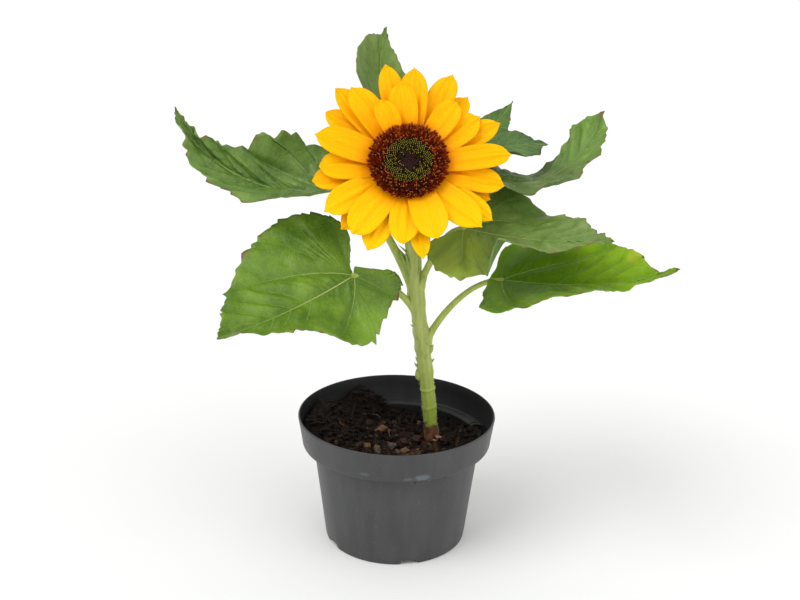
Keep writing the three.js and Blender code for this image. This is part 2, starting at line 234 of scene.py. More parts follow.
camera = newObject("camera", bpy.data.cameras.new("camera"))
camera.data.lens = view["lens"]
camera.data.sensor_width = 36
camera.location = view["place"]
lookDown = Matrix.Rotation(math.radians(90 - view["down"]), 4, "X")
camera.rotation_euler = (lookDown @ Matrix.Rotation(math.radians(view["tilt"]), 4, "Z")).to_euler()
bpy.context.scene.camera = camera
bpy.context.scene.view_settings.view_transform = "Standard"

# large soft lamps, far off: bearing from the right, height above the horizon, softness, strength
lamps = {
    "keyLeft": (215, 52, 40, 1.25),
    "fillRight": (318, 34, 60, 0.65),
}
for name, (bearing, height, softness, strength) in lamps.items():
    lamp = newObject(name, bpy.data.lights.new(name, "SUN"))
    lamp.data.angle = math.radians(softness)
    lamp.data.energy = strength
    b, h = math.radians(bearing), math.radians(height)
    comesFrom = Vector((math.cos(h) * math.cos(b), math.cos(h) * math.sin(b), math.sin(h)))
    lamp.rotation_euler = (-comesFrom).to_track_quat("-Z", "Y").to_euler()

world = bpy.data.worlds.new("studio")
world.use_nodes = True
feed(world.node_tree, world.node_tree.nodes["Background"],
    {"Color": view["sky"], "Strength": view["skyStrength"]})
bpy.context.scene.world = world

bm = bmesh.new()
bmesh.ops.create_grid(bm, x_segments=1, y_segments=1, size=12)
floor = newObject("floor", toMesh(bm, "floor"))
floor.data.materials.append(newMaterial("paleStudioFloor",
    {"Base Color": view["floor"], "Roughness": 0.9})[0])
print("camera, light and floor")


# ---- pot

potForm = {
    "rimRadius": 65,
    "height": 87,
    "footRadius": 47,
    "wall": 1.2,
    "shoulderRadius": 55.1,
    "collarRadius": 62.3,
    "collarHeight": 19.5,
    "ledge": 1.4,
    "footHeight": 3.0,
    "footWidth": 4.5,
    "padRadius": 17,
    "slots": 5,
    "slotWidth": 12.3,
    "slotSlope": 2.2,
    "slotBearing": 281.5,
    "drainRadius": 4,
    "drainCircle": 31,
    "steps": 240,
    # pale scuffs: place, length and height, strength
    "scuffs": [
        ((16.5, -59.5, 70), (9.5, 4.4), 0.5), ((-19, -59.5, 71.5), (6, 2.2), 0.25),
        ((8, -61.5, 69.6), (6, 1.8), 0.3),
    ],
    "scuffDepth": 18,
}


# Polypropylene moulded from recycled black scrap: mid grey, satin, a little cloudy,
# with faint flow marks up the wall and dust caught on its edges.
def mouldedPlastic(name, dark, light, streak):
    material, tree, shader = newMaterial(name, {"Roughness": 0.42, "IOR": 1.49, "Specular IOR Level": 0.42})
    place = addNode(tree, "TexCoord").outputs["Object"]
    flow = addNode(tree, "Mapping", {"Vector": place, "Scale": (1 / (9 * mm), 1 / (9 * mm), 1 / (70 * mm))})
    marks = addNode(tree, "TexNoise", {"Vector": flow, "Scale": 1.0, "Detail": 2.0})
    cloud, dust, scratch, grain = (
        addNode(tree, "TexNoise", {"Vector": place, "Scale": 1 / (size * mm), "Detail": detail,
        "Roughness": wear})
        for size, detail, wear in ((30, 3.0, 0.5), (1.6, 4.0, 0.5), (1.5, 7.0, 0.8), (0.8, 2.0, 0.5))
    )
    flows = addNode(tree, "ValToRGB", {"Fac": marks}, [(0.35, dark), (0.65, streak)])
    specks = addNode(tree, "ValToRGB", {"Fac": dust}, [(0.66, 0.0), (0.74, 0.22)])
    layers = [(0.45, flows), (specks, "#8b8b88")]
    # pale scuffs on the collar's lower edge
    deep = potForm["scuffDepth"]
    for (x, y, z), (long, tall), strength in potForm["scuffs"]:
        scuffPlace = addNode(tree, "Mapping", {
            "Vector": place, "Location": (-x / long, -y / deep, -z / tall),
            "Scale": (1 / (long * mm), 1 / (deep * mm), 1 / (tall * mm)),
        })
        scuffRound = addNode(tree, "TexGradient", {"Vector": scuffPlace},
            gradient_type="SPHERICAL").outputs["Fac"]
        scuffed = addNode(tree, "Math", {0: scuffRound, 1: scratch}, operation="MULTIPLY")
        mask = addNode(tree, "MapRange", {"Value": scuffed, "From Min": 0.2, "From Max": 0.34,
            "To Max": strength})
        layers.append((mask, "#6f7d80"))
    colour = addNode(tree, "ValToRGB", {"Fac": cloud}, [(0.3, dark), (0.7, light)])
    for share, over in layers:
        colour = addNode(tree, "Mix", {"Factor": share, "A": colour, "B": over}, data_type="RGBA")
    roughness = addNode(tree, "MapRange", {"Value": cloud, "To Min": 0.36, "To Max": 0.5})
    bump = addNode(tree, "Bump", {"Height": grain, "Strength": 0.12, "Distance": 0.1 * mm})
    feed(tree, shader, {"Base Color": colour, "Roughness": roughness, "Normal": bump})
    return material


# The wall's section, from the middle of the floor up the outside and down the inside.
def potSection():
    f = potForm
    foot, wall, top, pad, low = f["footRadius"], f["wall"], f["height"], f["padRadius"], f["footHeight"]
    waist, collar, rim = f["shoulderRadius"], f["collarRadius"], f["rimRadius"]
    shoulder = top - f["collarHeight"]
    ledge = shoulder + f["ledge"]
    floorTop = low + wall
    ring = foot - f["footWidth"]
    lean = (waist - foot) / shoulder
    inside = rim - wall
    return [
        (0, 0), (pad - 0.5, 0), (pad, 0.3), (pad + 1, low), (ring, low), (ring, 0.4), (ring + 0.4, 0),
        (foot - 0.8, 0), (foot - 0.2, 0.3), (foot + 0.1, 1.2), (foot + 4 * lean, 4), (foot + 34 * lean, 34),
        (waist - 0.1, shoulder - 2), (waist, shoulder - 0.5), (waist + 0.6, shoulder),
        (collar - 0.9, shoulder),
        (collar - 0.2, shoulder + 0.3), (collar + 0.05, shoulder + 1.0), (collar + 0.4, shoulder + 4),
        (rim - 0.5, top - 4), (rim - 0.1, top - 1.4), (rim, top - 0.8), (rim - 0.2, top - 0.25),
        (rim - 0.6, top),
        (inside + 0.1, top - 0.15), (inside - 0.1, top - 0.7), (inside - 0.6, top - 5),
        (collar - wall, ledge + 1.2), (collar - wall - 0.5, ledge + 0.2), (collar - wall - 1.2, ledge),
        (waist - wall + 0.8, ledge), (waist - wall + 0.1, ledge - 0.4), (waist - wall - 0.2, shoulder - 2),
        (foot + 34 * lean - wall, 34), (foot - wall + 0.1, floorTop + 1.5), (foot - wall - 1.2, floorTop),
        (0, floorTop),
    ]


def makePot():
    f = potForm
    bm = bmesh.new()
    section = [bm.verts.new((r * mm, 0, z * mm)) for r, z in potSection()]
    edges = [bm.edges.new(pair) for pair in zip(section, section[1:])]
    bmesh.ops.spin(
        bm, geom=section + edges, cent=(0, 0, 0), axis=(0, 0, 1), angle=2 * math.pi,
        steps=f["steps"], use_merge=True, use_duplicate=False,
    )
    bmesh.ops.remove_doubles(bm, verts=bm.verts, dist=0.01 * mm)
    # the foot ring rises into gaps with sloping ends
    gapAngle = math.degrees(f["slotWidth"] / f["footRadius"]) / 2
    slope = math.degrees(f["slotSlope"] / f["footRadius"])
    for vert in bm.verts:
        radius = math.hypot(vert.co.x, vert.co.y) / mm
        if vert.co.z < f["footHeight"] * mm and radius > f["padRadius"] + 3:
            bearing = math.degrees(math.atan2(vert.co.y, vert.co.x)) - f["slotBearing"]
            away = abs((bearing + 180 / f["slots"]) % (360 / f["slots"]) - 180 / f["slots"])
            rise = min(1, max(0, (gapAngle - away) / slope))
            vert.co.z += (f["footHeight"] * mm - vert.co.z) * rise * 0.97
    bmesh.ops.dissolve_degenerate(bm, dist=0.005 * mm, edges=bm.edges)
    bmesh.ops.recalc_face_normals(bm, faces=bm.faces)
    skins = [
        mouldedPlastic("recycledPolypropylene", "#38383a", "#454547", "#48484a"),
        # a darker copy of the same plastic for the inner wall: painted shade
        mouldedPlastic("paintedShadePolypropylene", "#19191b", "#242427", "#262629"),
    ]
    # the inner wall takes the darker copy: painted shade inside the pot
    for face in bm.faces:
        middle = face.calc_center_median()
        inward = face.normal.x * middle.x + face.normal.y * middle.y < 0
        face.material_index = int(inward and middle.z > 2 * f["footHeight"] * mm)
    piece = addPiece(bm, "nurseryPot", skins, ["pot"])
    # five drain holes
    holes = bmesh.new()
    for i in range(f["slots"]):
        bearing = math.radians(f["slotBearing"] + 360 / f["slots"] * i)
        centre = Matrix.Rotation(bearing, 4, "Z") @ Matrix.Translation((f["drainCircle"] * mm, 0, 3 * mm))
        bmesh.ops.create_cone(
            holes, cap_ends=True, segments=32, radius1=f["drainRadius"] * mm, radius2=f["drainRadius"] * mm,
            depth=6 * mm, matrix=centre,
        )
    holeTool = newObject("holes", toMesh(holes, "holes"))
    boolean = piece.modifiers.new("drainHoles", "BOOLEAN")
    boolean.operation = "DIFFERENCE"
    boolean.object = holeTool
    bpy.context.view_layer.update()
    drilled = bpy.data.meshes.new_from_object(piece.evaluated_get(bpy.context.evaluated_depsgraph_get()))
    piece.modifiers.clear()
    piece.data = drilled
    bpy.data.objects.remove(holeTool)
    drilled.shade_smooth()
    drilled.set_sharp_from_angle(angle=math.radians(50))
    return piece


makePot()
print("pot")


# ---- potting mix

soilForm = {
    "level": 64.5,
    "waves": 0.9,
    # banks of soil against the wall: height, x, y and spread
    "banks": [(16, -25, 54, 15), (14, -52, 28, 22), (12, -59, -5, 24), (8.5, 58, 0, 24), (5, 5, -56, 30)],
    "crumbs": 1.3,
    "rings": 110,
    "sides": 400,
    "seed": 4,
}


def soilHeight(x, y):
    height = soilForm["level"] + soilForm["waves"] * np.sin(0.19 * x + 0.6) * np.cos(0.23 * y - 0.4)
    for bank, bx, by, spread in soilForm["banks"]:
        height = height + bank * np.exp(-((x - bx) ** 2 + (y - by) ** 2) / spread ** 2)
    return height


# Where the soil's surface meets the wall at each bearing: on the wall, or over the
# ledge where the soil is banked higher than that.
def soilReach(bearing):
    f = potForm
    ledgeTop = f["height"] - f["collarHeight"] + f["ledge"]
    narrow = f["shoulderRadius"] - f["wall"] - 0.2
    wide = f["collarRadius"] - f["wall"] - 0.1
    reach = np.full(len(bearing), narrow)
    for radius in np.linspace(narrow, wide, 24):
        height = soilHeight(radius * np.cos(bearing), radius * np.sin(bearing))
        reach = np.where(height > ledgeTop + 0.3, radius, reach)
    return reach


# Peat and composted bark, moist: nearly black brown, matt, with damp glints.
def pottingMix(name, dark, pale, roughness):
    material, tree, shader = newMaterial(name, {"Roughness": roughness, "IOR": 1.4,
        "Specular IOR Level": 0.2})
    place = addNode(tree, "TexCoord").outputs["Object"]
    crumbs = addNode(tree, "TexNoise", {"Vector": place, "Scale": 1 / (2.2 * mm), "Detail": 6.0,
        "Roughness": 0.7})
    colour = addNode(tree, "ValToRGB", {"Fac": crumbs}, [(0.35, dark), (0.72, pale)])
    bump = addNode(tree, "Bump", {"Height": crumbs, "Strength": 0.6, "Distance": 0.5 * mm})
    feed(tree, shader, {"Base Color": colour, "Normal": bump})
    return material


def makeSoil():
    f = soilForm

    def surface(a, b):
        bearing = math.pi * b
        x = a ** 0.8 * soilReach(bearing) * np.cos(bearing)
        y = a ** 0.8 * soilReach(bearing) * np.sin(bearing)
        points = np.stack([x, y, soilHeight(x, y)], 1)
        crumb = rough(points, 5.0) * 1.0 + rough(points, 2.2, 3.0) * 0.6 + rough(points, 1.1, 7.0) * 0.35
        lowered = np.where(a > 0.97, 0.4, 1.0)
        points[:, 2] += crumb * f["crumbs"] * lowered
        return {"points": points}

    bm = shapedGrid(f["rings"], f["sides"], surface, 0.05)
    # the sides go down inside the wall, in two steps: to the ledge, then to the floor
    shoulder = potForm["height"] - potForm["collarHeight"]
    narrow = potForm["shoulderRadius"] - potForm["wall"] - 0.5
    inside = potForm["footRadius"] - potForm["wall"] - 0.6
    floorTop = potForm["footHeight"] + potForm["wall"] + 0.5
    for radius, height in ((narrow, shoulder - 4), (inside, floorTop)):
        rim = [e for e in bm.edges if e.is_boundary]
        wall = bmesh.ops.extrude_edge_only(bm, edges=rim)["geom"]
        for vert in (v for v in wall if isinstance(v, bmesh.types.BMVert)):
            share = radius * mm / math.hypot(vert.co.x, vert.co.y)
            vert.co.x *= share
            vert.co.y *= share
            vert.co.z = height * mm
    bmesh.ops.holes_fill(bm, edges=[e for e in bm.edges if e.is_boundary], sides=0)
    bmesh.ops.recalc_face_normals(bm, faces=bm.faces)
    addPiece(bm, "pottingMix", [pottingMix("moistPeatMix", "#080504", "#1d120b", 0.75)], ["soil"])


# A lump of bark or grit: a cube worn down and roughened, about 48 faces.
def lump(seed, edge):
    draw = random.Random(seed)
    bm = bmesh.new()
    bmesh.ops.create_cube(bm, size=1)
    bmesh.ops.subdivide_edges(bm, edges=bm.edges, cuts=1, use_grid_fill=True)
    bmesh.ops.smooth_vert(bm, verts=bm.verts, factor=edge, use_axis_x=True, use_axis_y=True, use_axis_z=True)
    for vert in bm.verts:
        vert.co += Vector([draw.uniform(-0.11, 0.11) for _ in range(3)])
    bmesh.ops.triangulate(bm, faces=bm.faces)
    return bm


# A strand of fibre: a thin three-sided rod, 1 long and bent.
def strand(seed):
    draw = random.Random(seed)
    bend, wave = draw.uniform(0.15, 0.3), draw.uniform(0.03, 0.08)
    bm = bmesh.new()
    bmesh.ops.create_cone(bm, cap_ends=True, segments=3, radius1=0.5, radius2=0.3, depth=1)
    sides = [e for e in bm.edges if abs(e.verts[0].co.z - e.verts[1].co.z) > 0.5]
    bmesh.ops.subdivide_edges(bm, edges=sides, cuts=6)
    for vert in bm.verts:
        x, y, z = vert.co
        vert.co = (z, y, x)
        vert.co.y += bend * (1 - 4 * z * z) / 0.05
        vert.co.z += wave * math.sin(7 * z) / 0.05
    return bm


# name: count, colours, roughness, length, width and thickness from and to, seed, wear,
# and for some where they lie: x, y and spread
chipKinds = {
    "barkDark": (620, "#0a0604", "#23150e", 0.6, (3, 13), (1.4, 3.6), (0.8, 2.0), 11, 0.25),
    "barkBrown": (170, "#24130a", "#4d2e1a", 0.55, (3, 9), (1.6, 4.2), (1.0, 2.6), 12, 0.3, (4, -16, 30)),
    "barkTan": (11, "#4a3524", "#836344", 0.55, (2.5, 6), (2.0, 4.0), (1.4, 3.0), 13, 0.4, (-4, -14, 20)),
    "grit": (22, "#33322a", "#5e5c4c", 0.5, (3, 6), (2.4, 4.5), (1.8, 3.4), 14, 0.6, (0, -16, 20)),
    "fibreDark": (150, "#120b07", "#35231a", 0.7, (9, 26), (0.5, 0.8), (0.4, 0.7), 15, None),
    "fibrePale": (12, "#6d5a46", "#9c8a70", 0.7, (6, 14), (0.4, 0.6), (0.4, 0.6), 16, None),
    "splinter": (0, "#8f6a58", "#cdb096", 0.6, (6, 10), (1.2, 2), (1.2, 2), 17, 0.15),
}
stemFoot = (24.6, 6.0)  # no loose bits lie on it
# single bits that catch the eye: kind, x, y, spin, length, width and thickness
markedBits = [
    ("barkTan", -10.5, 14, 0.2, 10, 4.6, 3.4), ("barkTan", -19.1, -11.5, 1.1, 5, 4, 3.4),
    ("barkTan", -13, -15, 0.5, 5.5, 3.6, 3), ("grit", -2.7, -10.4, 0.3, 6, 5, 4),
    ("grit", -12, -19, 0.8, 5, 4, 3.4),
    ("barkBrown", 13.2, 0.8, 0.4, 6.5, 5.5, 4.2), ("barkBrown", 5, -4, 1.2, 6, 5, 4),
    ("barkTan", 5.5, -17, 0.1, 7, 4, 3),
    ("splinter", 31.0, 0.5, -1.0, 10, 1.9, 1.6), ("splinter", 28.5, -1.5, -0.7, 8, 1.5, 1.2),
    ("barkTan", 15.5, 30, 0.7, 4.5, 2.4, 1.6), ("fibrePale", -26, 2.5, 0.9, 13, 0.9, 0.7),
]


def soilPoint(draw, reach=0.985):
    bearing = draw.uniform(0, 2 * math.pi)
    radius = math.sqrt(draw.random()) * float(soilReach(np.array([bearing]))[0]) * reach
    x, y = radius * math.cos(bearing), radius * math.sin(bearing)
    return x, y, float(soilHeight(np.array(x), np.array(y)))


def makeChips():
    stemX, stemY = stemFoot
    for name, (count, dark, pale, roughness, lengths, widths, depths, seed, wear,
        *where) in chipKinds.items():
        draw = random.Random(seed)
        places = []
        while len(places) < count:
            x, y, z = soilPoint(draw, 0.93)
            if math.hypot(x - stemX, y - stemY) < 7:
                continue
            if where and draw.random() > math.exp(-math.dist((x, y), where[0][:2]) ** 2 / where[0][2] ** 2):
                continue
            aim = (draw.gauss(0, 0.3), draw.gauss(0, 0.3), 1)
            size = (draw.uniform(*lengths), draw.uniform(*widths), draw.uniform(*depths))
            places.append(placed((x, y, z + 0.35), aim, draw.uniform(0, math.pi), size))
        for kind, x, y, spin, *size in markedBits:
            if kind == name:
                z = float(soilHeight(np.array(x), np.array(y)))
                places.append(placed((x, y, z + 0.4 + 0.25 * size[2]), (0.1, -0.1, 1), spin, size))
        shape = lump(seed, wear) if wear else strand(seed)
        addPiece(scatter(shape, places), name, [pottingMix(name + "Bits", dark, pale, roughness)],
            smooth=False)


makeSoil()
makeChips()
print("potting mix")


# ---- stem and leaf stalks

stemForm = {
    "foot": 64.2,
    "line": [(*stemFoot, 62), (20.3, 6, 100), (16.9, 5, 129), (12.2, 3, 162), (9, 0.5, 196), (6.8, -2, 222)],
    "footRadius": 4.9,
    "radius": 4.6,
    "topRadius": 4.3,
    "flare": 9,
    "ribs": 9,
    "ribDepth": 0.16,
    # buds and leaf scars: height, bearing, width, depth, length and outward lean
    "buds": [(112, 196, 4.4, 4.6, 9, 0.25), (118, 186, 2.0, 2.0, 6.5, 0.9), (116, 215, 2.2, 1.8, 5, 0.6),
             (122, 172, 1.4, 1.4, 5, 0.5), (122, -8, 1.8, 1.8, 4.6, 0.8), (146, 184, 1.2, 1.2, 4.6, 1.0),
             (131, -25, 3.0, 3.0, 8, 0.35), (134, -50, 1.6, 1.4, 5, 0.4), (88, 250, 1.8, 1.0, 2.0, 0.6),
             (89, 300, 1.6, 1.0, 1.8, 0.8), (160, 195, 2.4, 2.4, 6, 0.5)],
    # the young side shoots above the upper leaf stalks, told like the buds
    "shoots": [(176, -14, 4.6, 3.0, 14, 0.4), (178, -40, 3.6, 2.4, 13, 0.5), (180, 8, 3.0, 2.0, 12, 0.8),
               (183, -25, 1.8, 1.4, 8, 1.2), (184, -60, 1.8, 1.4, 10, 0.4), (183, 186, 4.6, 3.0, 22, 0.34),
               (189, 200, 4.0, 2.6, 19, 0.5), (193, 176, 3.4, 2.2, 17, 0.75), (190, 225, 2.6, 1.8, 18, 0.35),
               (198, 195, 2.2, 1.4, 13, 1.1), (205, 265, 1.8, 1.3, 10, 0.6)],
    # rings and swellings round the stem: height, growth and spread
    "rings": [(78, -0.35, 7), (88.6, 0.4, 0.9), (101.5, 0.6, 0.9), (115, 0.7, 4.5), (122, 0.3, 2),
    (131, 0.9, 4),
              (142, 0.8, 4), (164, 0.8, 5), (171, 0.7, 4), (190, 0.5, 5), (204, 0.6, 5), (213, 0.6, 5)],
}

headForm = {
    "centre": (4.7, -35, 262),
    "elevation": 36,
    "discRadius": 23.2,
    "discDepth": 8.4,
}

faceUp = math.radians(headForm["elevation"])
headAxis = np.array([0, -math.cos(faceUp), math.sin(faceUp)])
headRight = np.array([1.0, 0, 0])
headUp = np.cross(headAxis, headRight)


# A point of the flower head: out from its axis at a bearing, aside, and forward.
def headPoint(bearing, out, aside, forward):
    b = np.radians(bearing)
    right = out * np.cos(b) - aside * np.sin(b)
    up = out * np.sin(b) + aside * np.cos(b)
    centre = np.array(headForm["centre"])
    return (centre + np.multiply.outer(right, headRight) + np.multiply.outer(up, headUp)
            + np.multiply.outer(forward, headAxis))


# A smooth curve through points, as even samples (centripetal Catmull-Rom).
def smoothCurve(points, samples=400):
    p = np.array(points, float)
    p = np.vstack([2 * p[0] - p[1], p, 2 * p[-1] - p[-2]])
    pieces = []
    for p0, p1, p2, p3 in zip(p, p[1:], p[2:], p[3:]):
        d0, d1, d2 = (math.sqrt(np.linalg.norm(b - a)) for a, b in ((p0, p1), (p1, p2), (p2, p3)))
        m1 = ((p1 - p0) / d0 - (p2 - p0) / (d0 + d1) + (p2 - p1) / d1) * d1
        m2 = ((p2 - p1) / d1 - (p3 - p1) / (d1 + d2) + (p3 - p2) / d2) * d1
        t = np.linspace(0, 1, 60)[:, None]
        pieces.append((2 * t**3 - 3 * t**2 + 1) * p1 + (t**3 - 2 * t**2 + t) * m1
                      + (3 * t**2 - 2 * t**3) * p2 + (t**3 - t**2) * m2)
    return evenly(np.concatenate(pieces), samples)


def bezierCurve(p0, p1, p2, p3, samples=200):
    t = np.linspace(0, 1, 200)[:, None]
    line = (1 - t)**3 * p0 + 3 * (1 - t)**2 * t * p1 + 3 * (1 - t) * t**2 * p2 + t**3 * p3
    return evenly(line, samples)


def evenly(line, samples):
    run = np.concatenate([[0], np.cumsum(np.linalg.norm(np.diff(line, axis=0), axis=1))])
    at = np.linspace(0, run[-1], samples)
    return np.stack([np.interp(at, run, line[:, i]) for i in range(3)], 1)


# The line's direction and two directions across it at every sample, without twist.
def framesAlong(line):
    along = unit(np.gradient(line, axis=0))
    across = np.zeros_like(line)
    last = np.cross(along[0], (0.0, 0.0, 1.0) if abs(along[0][2]) < 0.9 else (0.0, 1.0, 0.0))
    for i, direction in enumerate(along):
        last = last - direction * (last @ direction)
        last = last / np.linalg.norm(last)
        across[i] = last
    return along, across, np.cross(along, across)


# A round limb along a line: radiusAt(share, angle, height) in mm.
def limb(line, radiusAt, steps, sides):
    along, across, other = framesAlong(line)

    def surface(a, b):
        at, n, o = between(a, line, across, other)
        angle = -math.pi * b
        radius = radiusAt(a, angle, at[:, 2])
        ring = n * np.cos(angle)[:, None] + o * np.sin(angle)[:, None]
        length = np.linalg.norm(np.diff(line, axis=0), axis=1).sum()
        return {"points": at + ring * radius[:, None], "uv": np.stack([a * length, b * 15], 1)}

    bm = shapedGrid(steps, sides, surface, 0.001)
    bmesh.ops.holes_fill(bm, edges=[e for e in bm.edges if e.is_boundary], sides=0)
    bmesh.ops.recalc_face_normals(bm, faces=bm.faces)
    return bm


stemLine = smoothCurve([*stemForm["line"], headPoint(0, 0, 0, -28), headPoint(0, 0, 0, -16.5)])
stemLine = stemLine[stemLine[:, 2] > stemForm["foot"]]


def stemRadius(share, height):
    f = stemForm
    radius = f["radius"] + (f["topRadius"] - f["radius"]) * share**3
    radius = radius + (f["footRadius"] - f["radius"]) * bell(height, f["line"][0][2], f["flare"])
    for ring, growth, spread in f["rings"]:
        radius = radius + growth * bell(height, ring, spread)
    return radius


# Living stem: pale green under fine white hair, corky red-brown where it meets the soil.
def stemSkin(name, young, old, foot=None):
    material, tree, shader = newMaterial(name, {
        "Roughness": 0.5, "IOR": 1.45, "Subsurface Weight": 0.12,
        "Subsurface Radius": (1.0 * mm, 1.4 * mm, 0.5 * mm),
    })
    place = addNode(tree, "TexCoord").outputs["Object"]
    long = addNode(tree, "Mapping", {"Vector": place,
        "Scale": (1 / (1.6 * mm), 1 / (1.6 * mm), 1 / (16 * mm))})
    streaks, grain = (
        addNode(tree, "TexNoise", {"Vector": long, "Scale": scale, "Detail": detail})
        for scale, detail in ((1.0, 4.0), (3.0, 3.0))
    )
    colour = addNode(tree, "ValToRGB", {"Fac": streaks}, [(0.2, old), (0.75, young)])
    if foot:
        bark, paleBark, yellow = foot
        height = addNode(tree, "SeparateXYZ", {0: place}).outputs["Z"]
        blotch = addNode(tree, "TexNoise", {"Vector": place, "Scale": 1 / (5 * mm), "Detail": 4.0})
        ragged = addNode(tree, "Math", {0: blotch, 1: -22 * mm, 2: height}, operation="MULTIPLY_ADD")
        cork = addNode(tree, "ValToRGB", {"Fac": blotch}, [(0.3, bark), (0.7, paleBark)])
        # yellow fades out up the stem, and cork ends in a ragged edge above the soil
        for measure, low, high, strength, over in ((height, 80, 130, 0.8, yellow),
            (ragged, 65, 71, 1.0, cork)):
            share = addNode(
                tree, "MapRange",
                {"Value": measure, "From Min": low * mm, "From Max": high * mm, "To Min": strength,
                "To Max": 0.0},
                interpolation_type="SMOOTHSTEP",
            )
            colour = addNode(tree, "Mix", {"Factor": share, "A": colour, "B": over}, data_type="RGBA")
    bump = addNode(tree, "Bump", {"Height": grain, "Strength": 0.25, "Distance": 0.2 * mm})
    feed(tree, shader, {"Base Color": colour, "Normal": bump})
    return material


# young and old green, and for the stem's foot two browns of cork and a yellow
skinColours = {
    "stem": ("#c0c873", "#91a54a", ("#4e2a1c", "#8a5a3e", "#a3b83a")),
    "stalk": ("#c2cb64", "#96a846", None),
}


def makeStem():
    f = stemForm
    young, old, foot = skinColours["stem"]

    def radiusAt(share, angle, height):
        swell = 0.18 * np.sin(3 * angle + height / 9) + 0.12 * np.sin(2 * angle - height / 14)
        ribs = f["ribDepth"] * np.cos(f["ribs"] * angle)
        return stemRadius(share, height) + swell + ribs

    bm = limb(stemLine, radiusAt, 420, 48)
    skin = stemSkin("hairyStemSkin", young, old, foot)
    addPiece(bm, "mainStem", [skin], ["stem"])
    for kind, scaleSkin in (("buds", skin), ("shoots", plainSkin("shootGreen", "#98ae5c", 0.6, 0.4))):
        places = []
        for height, bearing, *size, lean in f[kind]:
            point, outward = stemPoint(height, bearing)
            places.append(placed(point + outward * size[0] * 0.1, outward * lean + (0, 0, 1), 0, size))
        addPiece(scatter(budScale(), places), "stem_" + kind, [scaleSkin])


# A point on the stem's skin at a height and bearing, and the way out there.
def stemPoint(height, bearing):
    k = int(np.argmin(np.abs(stemLine[:, 2] - height)))
    outward = np.array([math.cos(math.radians(bearing)), math.sin(math.radians(bearing)), 0])
    return stemLine[k] + outward * float(stemRadius(k / (len(stemLine) - 1), height)), outward


# A bud scale: a small rounded body drawn up to a point, about 50 faces.
def budScale():
    bm = bmesh.new()
    bmesh.ops.create_uvsphere(bm, u_segments=8, v_segments=7, radius=0.5)
    for vert in bm.verts:
        rise = max(0, vert.co.z)
        vert.co.x *= 1 - 1.2 * rise
        vert.co.y *= 1 - 1.2 * rise
    return bm


# Short stiff white hairs along a limb's line: radiusAt(k) gives its radius at sample k.
def hairsOn(line, radiusAt, count, seed, lengths=(0.5, 1.4)):
    draw = random.Random(seed)
    along, across, other = framesAlong(line)
    places = []
    for _ in range(count):
        k = draw.randrange(3, len(line) - 3)
        angle = draw.uniform(0, 2 * math.pi)
        outward = across[k] * math.cos(angle) + other[k] * math.sin(angle)
        aim = outward + along[k] * draw.uniform(-0.5, 0.3)
        size = draw.uniform(*lengths)
        places.append(placed(line[k] + outward * (radiusAt(k) - 0.05), aim, 0, (0.06, 0.06, size)))
    return places


def hair():
    bm = bmesh.new()
    bmesh.ops.create_cone(bm, cap_ends=True, segments=3, radius1=1, radius2=0.15, depth=1)
    bmesh.ops.translate(bm, vec=(0, 0, 0.5), verts=bm.verts)
    return bm


# ---- leaves

